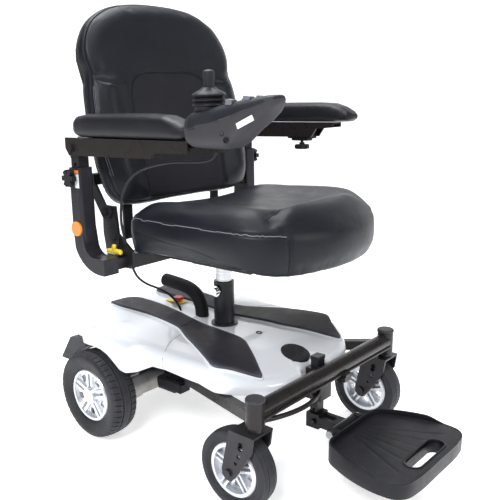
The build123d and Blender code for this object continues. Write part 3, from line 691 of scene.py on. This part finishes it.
def shroud():
    loop = spline(mirror(SHELL), 420, closed=True)
    loop[:, 1] += 30.0 * ease(62, 26, np.abs(loop[:, 0])) * ease(-440, -480, loop[:, 1])
    n = outward(loop)
    low = np.interp(-loop[:, 1], [-y for y, _ in LOW], [z for _, z in LOW])
    rings = []
    inner = loop - n * 4.0
    top_at = loop - n * 20.0
    zt = deck_z(top_at[:, 0], top_at[:, 1]) - 1.0
    rad = np.minimum(24.0, np.maximum(zt - low, 6.0) * 0.75)

    def ring(base, z):
        out = base + n * fender(base[:, 1], z)[:, None]
        rings.append([(p[0], p[1], w) for p, w in zip(out, z)])

    ring(inner, low + 14.0)
    ring(inner, low + 1.0)
    ring(loop - n * 1.2, low)
    for t in np.linspace(0.02, 1.0, 14):
        ring(loop, low + 1.0 + (zt - rad - low - 1.0) * t)
    for a in np.linspace(12, 90, 8):
        c = math.radians(a)
        base = loop - n * (rad * (1 - math.cos(c)))[:, None]
        ring(base, zt - rad + rad * math.sin(c))
    mid = np.array([0.0, -190.0])
    edge = loop - n * rad[:, None]
    for k in np.linspace(0.985, 0.02, 52):
        p = mid + (edge - mid) * k
        z = deck_z(p[:, 0], p[:, 1])
        out = p + n * (fender(p[:, 1], z) * k ** 8)[:, None]
        rings.append([(q[0], q[1], w) for q, w in zip(out, z)])
    return loft("shell", rings, "white", "chassis", ["shroud"],
                caps=(False, True))


TRIM = [(38, 58), (44, 84), (62, 104), (108, 116), (118, 60), (113, -60), (112, -160),
        (150, -225), (190, -300), (230, -380), (204, -404), (160, -466), (120, -412),
        (72, -342), (50, -165), (38, 0)]


def rounded(poly, r, n=7):
    """A polygon with each corner rounded by about r, as a dense closed outline."""
    p = np.array(poly, float)
    out = []
    for i in range(len(p)):
        a, b, c = p[i - 1], p[i], p[(i + 1) % len(p)]
        la, lc = np.linalg.norm(a - b), np.linalg.norm(c - b)
        d = min(r, la * 0.45, lc * 0.45)
        s, e = b + (a - b) / la * d, b + (c - b) / lc * d
        for t in np.linspace(0, 1, n):
            out.append((1 - t) ** 2 * s + 2 * t * (1 - t) * b + t * t * e)
    q = [out[0]]
    for v in out[1:]:
        if np.linalg.norm(v - q[-1]) > 0.05:
            q.append(v)
    long = []
    for i in range(len(q)):
        a, b = q[i], q[(i + 1) % len(q)]
        m = max(1, int(np.linalg.norm(b - a) // 8))
        long += [a + (b - a) * k / m for k in range(m)]
    return np.array(long)


def trims():
    for side, tag in SIDES:
        poly = rounded([(side * x, y) for x, y in TRIM], 16)
        n = outward(poly)
        slab("plinth_" + tag, poly + n * 3.2, above(-4), above(3.6), "white", "chassis",
             bevel=2.4)
        slab("deck_trim_" + tag, poly, above(2.0), above(9.0), "trim", "chassis",
             ["trim_" + tag], bevel=2.2)
        seam = [(side * x, y) for x, y in ((44, -150), (80, -166), (116, -170))]
        line = [(x, y, float(deck_z(x, y)) + 9.0) for x, y in spline(seam, 24)]
        bead("trim_seam_" + tag, line, 0.7, "thread", "chassis")


def badges():
    """The blank badge on the nose, and the round plug behind it."""
    slab("nose_badge", circle(0, -436, 38, 33, 72), above(-2), above(1.0), "badge", "chassis",
         ["deck_badge"], bevel=0.6, step=4.0)
    slab("deck_plug", circle(0, -327, 8.5, 8.5, 48), above(-2), above(1.4), "badge", "chassis",
         bevel=1.2, step=2.0, holes=[circle(0, -327, 4, 4, 30)])


def lever():
    """The yellow pull lever on the seat hinge, with its black arm."""
    arm = spline([(-247, -105, 532), (-248, -106, 518), (-252, -107, 506), (-258, -107, 502)], 16)
    sweep("lever_arm", arm, 4.0, "case", "recline_lever", ["recline_lever"], n=16)
    bar = spline([(-259, -131, 501), (-260, -121, 502), (-260.5, -107, 502), (-260, -90, 501),
                  (-259, -80, 499)], 24)
    sweep("lever_bar", bar, [5.4, 6.4, 7.2, 6.4, 5.4], "yellow", "recline_lever",
          n=18, cap=4)
    tab = spline([(-261, -107, 504), (-262, -108, 512), (-262, -110, 519)], 12)
    sweep("lever_tab", tab, [6.0, 5.6, 5.0], "yellow", "recline_lever", n=16,
          cap=3)


def shell_seams(shell):
    """The joint between the front and rear halves of the shell."""
    for side, tag in SIDES:
        top = spline([(side * x, y) for x, y in ((118, -186), (175, -200), (226, -226))], 30)
        line = [(x, y, float(deck_z(x, y))) for x, y in top]
        line += [(side * 240, -231, z) for z in np.linspace(262, 236, 16)]
        bead("shell_seam_" + tag, onto(shell, line, -0.15), 0.55, "thread", "chassis")


# ---- seat and back

CUSH_PLAN = [(0, -125), (130, -125), (205, -127), (231, -140), (237, -170), (237, -300),
             (237, -420), (230, -464), (206, -503), (165, -533), (100, -557), (0, -571)]
SEAM_Z = [(-580, 566), (-545, 570), (-520, 575), (-450, 580), (-350, 580), (-240, 579),
          (-160, 581), (-120, 580)]
EDGE_Z = [(-580, 487), (-545, 488), (-500, 495), (-468, 503), (-447, 511), (-356, 519),
          (-267, 517), (-200, 509), (-160, 500), (-120, 497)]
CREST = [(-575, 578), (-560, 590), (-540, 602), (-500, 614), (-430, 617), (-300, 613),
         (-175, 604), (-140, 594), (-120, 586)]


def pan_edge(x):
    """Where the raised front panel of the seat begins."""
    return -466.0 - 34.0 * (np.abs(x) / 200.0) ** 2


def seat_top(x, y):
    """Height of the cushion's top, with its side bolsters and raised front panel."""
    z = table(CREST, y)
    back = ease(-500, -450, y)
    ax = np.abs(x)
    z = z + back * (6.0 * np.exp(-((ax - 190) / 38) ** 2) - 7.0 * np.exp(-(x / 120) ** 2))
    z = z - 4.0 * ease(-300, -440, y) * np.exp(-(x / 170) ** 4)
    return z + 10.0 * ease(3, -26, y - pan_edge(x)) * np.exp(-(x / 180) ** 6)


def seat():
    loop = spline(mirror(CUSH_PLAN), 360, closed=True)
    n = outward(loop)
    mid = np.array([0.0, -330.0])
    zs = table(SEAM_Z, loop[:, 1])
    ze = table(EDGE_Z, loop[:, 1])
    rings = []

    def ring(p, z):
        rings.append([(a[0], a[1], b) for a, b in zip(p, z)])

    for k in (0.02, 0.25, 0.5, 0.7, 0.82, 0.9):
        ring(mid + (loop - mid) * k, np.minimum(ze - 2, 500 + 0 * ze))
    ring(loop - n * 9.0, np.minimum(ze - 3, 501 + 0 * ze))
    ring(loop - n * 4.5, ze - 2.5)
    ring(loop - n * 1.0, ze)
    for t in np.linspace(0.06, 0.94, 16):
        puff = 4.5 * math.sin(math.pi * t) + 1.0 - 3.0 * (1 - t)
        ring(loop + n * puff, ze + (zs - ze) * t)
    ring(loop - n * 0.5, zs)
    edge = loop - n * 0.5
    for e in np.linspace(0.012, 0.985, 64):
        p = mid + (edge - mid) * (1 - e)
        dist = e * np.linalg.norm(edge - mid, axis=1)
        lift = 1 - (1 - np.clip(dist / 62.0, 0, 1)) ** 2.4
        ring(p, zs + (seat_top(p[:, 0], p[:, 1]) - zs) * lift)
    o = loft("seat_cover", rings, "vinyl", "seat", ["seat_cushion"], sharp=180)
    swell(o)
    seam = [(a[0], a[1], b) for a, b in zip(loop + n * 0.6, zs)]
    xs = np.linspace(-190, 190, 60)
    arc = [(x, pan_edge(x), float(seat_top(x, pan_edge(x)))) for x in xs]
    lines = [arc]
    sides, low, welts = [], [], []
    for s, _ in SIDES:
        fall = spline([(s * 190, -497, 606), (s * 181, -515, 596), (s * 168, -529, 578),
                       (s * 165, -534, 560), (s * 165, -535, 520), (s * 165, -535, 490)], 40)
        lines.append([tuple(v) for v in fall])
        sides.append(fall[18:])
        lines.append([(s * 240, y, z) for y, z in spline([(-128, 574), (-140, 545), (-152, 502)],
                                                         20)])
        low.append([(s * 241, y, z) for y, z in
                    spline([(-160, 550), (-230, 543), (-300, 533), (-360, 524), (-400, 514)],
                           24)])
        side = [p for p in seam if s * p[0] > 166 and p[1] < -126]
        side.sort(key=lambda p: -p[1])
        welts.append(side)
    lines += welts
    press(o, lines, 0.0034, 0.0045)
    press(o, low, 0.0008, 0.003)
    # the side welts are drawn in the pale line colour: a painted highlight along the crest of each
    # side seam
    for tag, side in zip("rl", welts):
        bead("seat_welt_" + tag, onto(o, side, 0.5), 1.0, "pale_thread_and_highlight", "seat")
    bead("seat_seam_front", onto(o, arc, 0.0), 1.1, "thread", "seat")
    for tag, line in zip("rl", low):
        bead("seat_low_seam_" + tag, onto(o, line, -0.1), 0.6, "thread", "seat")
    for tag, fall in zip("rl", sides):
        bead("seat_seam_" + tag, onto(o, fall, 0.1), 1.1, "thread", "seat")


BACK = [(0, -50), (100, -51), (175, -50), (216, -42), (238, -18), (250, 20), (256, 70),
        (257, 120), (256, 172), (250, 225), (242, 262), (248, 291), (247, 318), (235, 348),
        (209, 382), (167, 408), (125, 422), (70, 429), (0, 431)]
PANEL = [(138, -30), (140, 60), (141, 150), (138, 205), (120, 240), (86, 255), (0, 258)]


def back_point(x, v, d):
    """A point of the back rest: x across, v up its face, d behind the face."""
    return (x, BACK_O[1] + d * math.cos(TILT) + v * math.sin(TILT),
            BACK_O[2] - d * math.sin(TILT) + v * math.cos(TILT))


def in_panel(x, v):
    """1 inside the middle panel, falling to 0 over its border."""
    half = np.interp(v, [-30, 60, 150, 205, 225, 240, 250, 258], [138, 140, 141, 138, 130, 120,
                                                                 100, 30])
    return ease(0, 7, half - np.abs(x)) * ease(0, 7, 259 - v)


def face_d(x, v):
    """How far behind the plain face the back's skin lies: less at the bolsters and panel."""
    ax = np.abs(x)
    wing = ease(262, 225, v) * ease(-60, 10, v)
    d = -13.0 * wing * np.exp(-((ax - 197) / 36) ** 2)
    d = d + 7.0 * np.exp(-(x / 150) ** 2) * ease(330, 200, v)
    d = d - 5.0 * np.exp(-((v - 320) / 70) ** 2) * np.exp(-(x / 190) ** 4)
    return d + 5.0 * in_panel(x, v)


def backrest():
    loop = spline(mirror(BACK), 380, closed=True)
    n = outward(loop)
    mid = np.array([0.0, 175.0])
    rings = []

    def ring(p, d):
        rings.append([back_point(a[0], a[1], b) for a, b in zip(p, d)])

    one = np.ones(len(loop))
    for k in (0.02, 0.3, 0.55, 0.75, 0.88):
        ring(mid + (loop - mid) * k, 56.0 * one)
    ring(loop - n * 13, 56.0 * one)
    ring(loop - n * 6, 53.5 * one)
    ring(loop - n * 1.5, 47.0 * one)
    for t in np.linspace(0.1, 0.9, 9):
        ring(loop + n * (2.2 * math.sin(math.pi * t) - 0.8), (46 - 32 * t) * one)
    ring(loop - n * 1.2, 12.0 * one)
    edge = loop - n * 1.2
    for e in np.linspace(0.008, 0.985, 70):
        p = mid + (edge - mid) * (1 - e)
        dist = e * np.linalg.norm(edge - mid, axis=1)
        lift = 1 - (1 - np.clip(dist / 46.0, 0, 1)) ** 2.2
        ring(p, 12.0 + (face_d(p[:, 0], p[:, 1]) - 12.0) * lift)
    o = loft("back_cover", rings, "vinyl", "back", ["back_cushion"], sharp=180)
    swell(o)
    front = [back_point(a[0], a[1], 12) for a in loop - n * 0.4]
    rear = [back_point(a[0], a[1], 47) for a in loop - n * 0.6]
    lines = [front + front[:1], rear + rear[:1]]
    half = spline(PANEL, 60)
    rim = [(x, v) for x, v in half] + [(-x, v) for x, v in half[-2::-1]]
    rim = [back_point(x, v, float(face_d(x, v))) for x, v in rim]
    lines.append(rim)
    cuts = []
    for s, _ in SIDES:
        c = spline([(s * 250, 262), (s * 222, 238), (s * 190, 228), (s * 160, 232)], 24)
        cuts.append([back_point(x, v, float(face_d(x, v))) for x, v in c])
    lines += cuts
    press(o, lines, 0.0036, 0.005)
    o.data.materials.append(MAT["panel"])
    co = coords(o) * 1000
    v = (co[:, 2] - BACK_O[2]) / math.cos(TILT)
    y = co[:, 1] - SHIFT - BACK_O[1] - np.tan(TILT) * (co[:, 2] - BACK_O[2])
    mark = (in_panel(co[:, 0], v) > 0.5) & (y < 25)
    for p in o.data.polygons:
        if all(mark[i] for i in p.vertices):
            p.material_index = 1
    bead("back_welt_front", onto(o, front, 0.4), 1.3, "thread", "back", closed=True)
    bead("back_welt_rear", onto(o, rear, 0.4), 1.3, "thread", "back", closed=True)
    bead("back_panel_seam", onto(o, rim, 0.0), 1.1, "thread", "back")
    for tag, c in zip("rl", cuts):
        bead("back_cut_" + tag, onto(o, c, 0.0), 1.0, "thread", "back")
    for s, tag in SIDES:
        for k, off in enumerate((5.0, 11.0)):
            c = spline([(s * (246 - off), 22), (s * (255 - off), 90), (s * (255 - off), 170),
                        (s * (247 - off), 228)], 60)
            line = [back_point(x, v, 10) for x, v in c]
            bead("back_stitch_%s%d" % (tag, k), onto(o, line, 0.1), 0.5, "pale_thread_and_highlight", "back")


# ---- arms and hand control

PAD_TOP = [(-57, 792), (-58, 799), (-62, 806), (-72, 812), (-100, 815), (-200, 815.5),
           (-300, 815), (-345, 812), (-372, 803), (-390, 793), (-401, 785), (-404, 780)]
PAD_LOW = [(-57, 786), (-58, 776), (-62, 769), (-72, 766), (-100, 765.5), (-200, 765.5),
           (-300, 765.5), (-345, 765.5), (-372, 765.5), (-390, 766.5), (-401, 772), (-404, 777)]
PAD_HALF = [(-57, 10), (-58, 18), (-62, 25), (-72, 29), (-100, 31), (-200, 31.5), (-300, 31),
            (-345, 30.5), (-372, 29), (-390, 25), (-401, 15), (-404, 7)]


def section(cx, y, half, low, high, n=56, power=3.0):
    """A rounded box across the arm at y, as a ring of points."""
    out = []
    for k in range(n):
        t = 2 * math.pi * k / n
        c, s = math.cos(t), math.sin(t)
        x = cx + half * math.copysign(abs(c) ** (2 / power), c)
        z = (low + high) / 2 + (high - low) / 2 * math.copysign(abs(s) ** (2 / power), s)
        out.append((x, y, z))
    return out


def read(pairs, y):
    """The value at y in (y, value) pairs that run forward, towards -y."""
    return float(np.interp(-y, [-a for a, _ in pairs], [b for _, b in pairs]))


def arm_pads():
    ys = np.concatenate([np.linspace(-57, -75, 12), np.linspace(-80, -370, 60),
                         np.linspace(-374, -404, 16)])
    for side, tag in SIDES:
        up = LEFT_ARM_UP if side > 0 else 0.0
        rings = [section(side * ARM_X, y, read(PAD_HALF, y), read(PAD_LOW, y) + up,
                         read(PAD_TOP, y) + up) for y in ys]
        o = loft("arm_cover_" + tag, rings, "pad", "arm_" + tag, ["arm_pad_" + tag],
                 sharp=180)


# each section of the pod: y, lowest z, highest z, half width
POD = [(-406.5, 784, 792, 12), (-407.5, 774, 802, 21), (-410, 766, 808, 27), (-416, 758, 814, 33),
       (-428, 753, 819, 37), (-460, 752, 825, 39), (-500, 752, 831, 39.6), (-515, 754, 834, 39.4),
       (-530, 763, 837, 38.5), (-550, 780, 840, 36), (-575, 797, 843, 32), (-595, 812, 845, 26),
       (-607, 823, 845, 18), (-612, 830, 843, 11), (-614, 834, 840, 5)]


def pod():
    """The hand control's housing; returns the two ends of its sticker."""
    power = 3.2
    ys = np.concatenate([np.linspace(-406.5, -430, 16), np.linspace(-434, -590, 54),
                         np.linspace(-592, -614, 16)])
    key = [-p[0] for p in POD]
    rows = [np.interp(-ys, key, [p[i] for p in POD]) for i in (1, 2, 3)]
    rings, rim = [], ([], [])
    for y, lo, hi, half in zip(ys, *rows):
        rings.append(section(STICK_X, y, half, lo, hi, 64, power))
        frac = float(np.interp(-y, [406, 512, 614], [0.50, 0.66, 0.60]))
        z = lo + (hi - lo) * frac
        s = abs(2 * frac - 1)
        x = half * max(1 - s ** power, 0) ** (1 / power)
        rim[0].append((STICK_X - x, y, z))
        rim[1].append((STICK_X + x, y, z))
    o = loft("pod_shell", rings, "pod", "arm_r", ["pod"], sharp=180)
    o.data.materials.append(MAT["podlow"])
    line = np.array(rim[0])
    for p in o.data.polygons:
        c = p.center * 1000
        z = np.interp(-(c.y - SHIFT), -line[:, 1], line[:, 2])
        if c.z < z:
            p.material_index = 1
    for tag, r in zip("rl", rim):
        bead("pod_rim_" + tag, r, 0.9, "podlow", "arm_r")
    return [np.array(onto(o, [(-345, y, z)], 0.4)[0]) for y, z in ((-548, 793), (-583, 804))]


def stick():
    c = (STICK_X, STICK_Y, 0)
    prof = [(5.2, 861), (12.5, 861.5), (16, 858), (22, 855), (28, 852), (31.5, 848.5),
            (31.5, 846.5), (27.5, 844.6), (25, 843), (27.5, 841.4), (30.5, 839.6), (30.5, 837.8),
            (27, 836.2), (25, 834.6), (27.5, 833), (30.5, 831.2), (30.8, 829.2), (27.5, 827.2),
            (27, 824), (27.5, 821)]
    lathe("stick_boot", prof, c, "z", "stick", "stick", ["boot"], n=72)
    grip = [(4.8, 856), (9.6, 858), (10.4, 861), (9.6, 866), (9.9, 872), (10.6, 880),
            (10.9, 885), (10.2, 889), (8.0, 891.2), (4.5, 892), (0.4, 892.2)]
    lathe("stick_grip", grip, c, "z", "stick", "stick", ["joystick"], n=56)


# ---- wheels

def tyres():
    def tread(r_out, half, blocks, depth):
        """Cuts slanted grooves between the blocks on both shoulders."""
        def shape(r, a, th):
            if r < r_out - 9:
                return r
            e = abs(a) / half
            ph = (th * blocks / (2 * math.pi)) % 1.0
            stag = (ph + (0.5 if a > 0 else 0.0) + 0.35 * e) % 1.0
            cut = 0.0
            if 0.40 < e < 0.98:
                cut = depth * (1 - ease(0.07, 0.12, min(stag, 1 - stag)))
            return r - float(cut)
        return shape

    def profile(r, ri, w, depth):
        """Half the tyre's section with its centre grooves, mirrored and closed."""
        h = w / 2
        pts = [(ri, -h * 0.70), (ri + 6, -h * 0.82), (r * 0.80, -h * 0.98), (r * 0.86, -h),
               (r - w * 0.14, -h * 0.97), (r - w * 0.07, -h * 0.90), (r - 3.4, -h * 0.78),
               (r - 1.6, -h * 0.60)]
        body = [tuple(p) for p in spline(pts, 26)]
        g0, g1 = h * 0.36, h * 0.28
        body[0] = (ri, -h * 0.70)
        body += [(r - 1.2, -h * 0.5), (r - 0.8, -g0 - 0.6), (r - depth, -g0), (r - depth, -g1),
                 (r - 0.3, -g1 + 0.6), (r, -h * 0.14), (r, 0.0)]
        half = body + [(a, -b) for a, b in body[-2::-1]]
        return half + half[:1]

    for side, tag in SIDES:
        lathe("drive_tread_" + tag, profile(DRIVE_R, 68, DRIVE_W, 3.2),
              (side * DRIVE_X, 0, DRIVE_R), "x", "tyre", "wheel_" + tag,
              ["tyre_" + tag], n=480, shape=tread(DRIVE_R, DRIVE_W / 2, 44, 2.6))
        lathe("caster_tread_" + tag, profile(CASTER_R, 61, CASTER_W, 1.6),
              (side * CASTER_X, CASTER_Y, CASTER_R), "x", "tyre", "caster_" + tag,
              ["caster_tyre_" + tag], n=220)


# ---- foot plate and handle

FOOT = [(0, -589), (60, -589.5), (98, -594), (112, -604), (128, -634), (142, -670), (151, -710),
        (153, -745), (147, -775), (128, -792), (90, -799), (0, -800)]


SLOT_X, SLOT_Y, SLOT_R = 52, -765, 17       # the plate's hand slot
PLATE_Z = 110.0
HINGE = (-572, 110)                         # y and z of the plate's hinge pin
FAN_Y, FAN_STEP = 560.0, math.radians(11.0)     # the grooves spread from this far forward


def arc(y, z, r, angles):
    return [(y + r * math.cos(math.radians(a)), z + r * math.sin(math.radians(a)))
            for a in angles]


def foot():
    loop = spline(mirror(FOOT), 260, closed=True)
    n = outward(loop)
    fade = ease(-745, -695, loop[:, 1])
    slot = np.array(arc(SLOT_X, SLOT_Y, SLOT_R, np.linspace(-90, 90, 15))
                    + arc(-SLOT_X, SLOT_Y, SLOT_R, np.linspace(90, 270, 15)))

    def top(x, y):
        ang = np.arctan2(x, -(y + FAN_Y))
        rad = np.hypot(x, y + FAN_Y)
        groove = np.abs(np.mod(ang / FAN_STEP, 1.0) - 0.5) * rad * FAN_STEP
        on = ease(55, 75, rad) * ease(232, 215, rad) * ease(0.66, 0.56, np.abs(ang))
        keep = ease(22, 30, np.hypot(np.maximum(np.abs(x) - SLOT_X, 0), y - SLOT_Y))
        return PLATE_Z - 1.6 * on * keep * ease(3.4, 1.2, groove)

    slab("foot_tread", loop - n * 5.4, lambda x, y: 104 + 0 * x, top, "foot", "footplate",
         ["footplate"], bevel=0.8, step=3.4, holes=[slot])
    rings = []
    for d, z in ((4.2, 76.5), (0.8, 76.0), (0.0, 78), (0.0, 96), (0.0, 106)):
        rings.append([(p[0], p[1], z) for p in loop - n * d])
    for d, k in ((0.0, 0.82), (0.5, 0.95), (1.8, 1.0), (3.4, 1.0), (4.8, 0.94), (5.3, 0.8)):
        rings.append([(p[0], p[1], 107.5 + 3.0 * k + 11.0 * f * k)
                      for p, f in zip(loop - n * d, fade)])
    rings.append([(p[0], p[1], 107.0) for p in loop - n * 5.8])
    rings.append([(p[0], p[1], 104.0) for p in loop - n * 5.4])
    rings.append([(p[0], p[1], 100.0) for p in loop - n * 4.6])
    loft("foot_rim", rings, "foot", "footplate", caps=(False, False))
    lip = outward(slot)
    loft("foot_slot", [[(p[0], p[1], z) for p in slot + lip * d] for d, z in
                       ((4.0, 80), (0.4, 80), (0.0, 82), (0.0, 109), (0.8, 111.4), (2.6, 112.0),
                        (4.4, 111.4), (4.8, 109), (4.0, 106))], "foot", "footplate",
         caps=(False, False))
    ear = [(-594, 99)] + arc(*HINGE, 12, range(-80, 121, 12)) + [(-594, 121)]
    c = np.mean(ear, axis=0)
    for s, tag in SIDES:
        rings = [[(s * x, c[0] + (y - c[0]) * k, c[1] + (z - c[1]) * k) for y, z in ear]
                 for x, k in ((42.5, 0.93), (43.3, 1.0), (54.2, 1.0), (55.0, 0.93))]
        loft("foot_ear_" + tag, rings, "foot", "footplate")


def handle():
    path = spline([(0, -136, 262), (0, -137, 285), (0, -134, 310), (0, -122, 334), (0, -98, 350),
                   (0, -66, 356), (0, -30, 359), (0, 4, 361)], 60)
    sweep("handle_foam", path, 17.6, "foam", "chassis", ["lift_handle"], cap=7)


# ---- cables

CABLE_ARM = [(-277, -446, 751), (-276, -441, 733), (-274, -418, 724), (-270, -372, 720),
             (-265, -318, 718), (-262, -258, 709), (-260, -205, 695), (-259, -165, 670),
             (-259, -142, 636), (-259, -134, 592), (-259, -136, 556), (-257, -146, 524)]
CABLE_BASE = [(-250, -156, 468), (-232, -144, 446), (-204, -130, 424), (-170, -114, 404),
              (-132, -98, 386), (-92, -88, 366), (-60, -86, 342), (-44, -94, 318),
              (-40, -98, 300)]


def cable(name, route, body):
    """A round cord along its route of mm points."""
    data = bpy.data.curves.new(name, "CURVE")
    data.dimensions = "3D"
    sp = data.splines.new("NURBS")
    sp.points.add(len(route) - 1)
    for q, p in zip(sp.points, route):
        q.co = (*pt(*p), 1.0)
    sp.order_u = 3
    sp.use_endpoint_u = True
    sp.resolution_u = 12
    data.bevel_depth = CABLE_D / 2
    data.bevel_resolution = 5
    data.use_fill_caps = True
    data.materials.append(MAT["cable"])
    o = add(name + "_line", data)
    settle(o, body, [name])


def labels(a, b):
    """Blank stickers: one under the hand control, one on the right arm post."""
    d = (b - a) / np.linalg.norm(b - a)
    w = np.cross(d, (1, 0, 0))
    for k, (y, z) in enumerate(((-512, 782), (-520, 770))):
        lathe("pod_socket_%d" % k, [(0.3, 0), (3.2, 0), (3.4, -0.6), (4.6, -1.0), (5.2, -0.4),
                                    (5.3, 3.0)], (-338.5, y, z), "x", "thread", "arm_r",
              n=28)
    rings = []
    for k in (0.0, 1.0):
        p = a + (b - a) * k
        rings.append([p + w * u + np.array((v, 0, 0)) for u, v in
                      ((-5, -0.5), (5, 0.5), (5, -2.0), (-5, -3.0))])
    loft("pod_label", rings, "label", "arm_r")
    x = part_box("arm_post_r")[0][0] * 1000
    for name, mat, z0, z1 in (("arm_label", "label", 652, 683),
                              ("arm_label_band", "orange", 684, 692)):
        loft(name, [[(xx, y, z) for y, z in ((-64, z0), (-50, z0), (-50, z1), (-64, z1))]
                    for xx in (x - 0.35, x + 0.3)], mat, "arm_post_r")


camera()
lights()
stage(MAT["floor"])
dress_nodes()
shell_seams(shroud())
trims()
badges()
lever()
seat()
backrest()
arm_pads()
labels(*pod())
stick()
tyres()
foot()
handle()
cable("cable_arm", CABLE_ARM, "seat")
cable("cable_base", CABLE_BASE, "chassis")
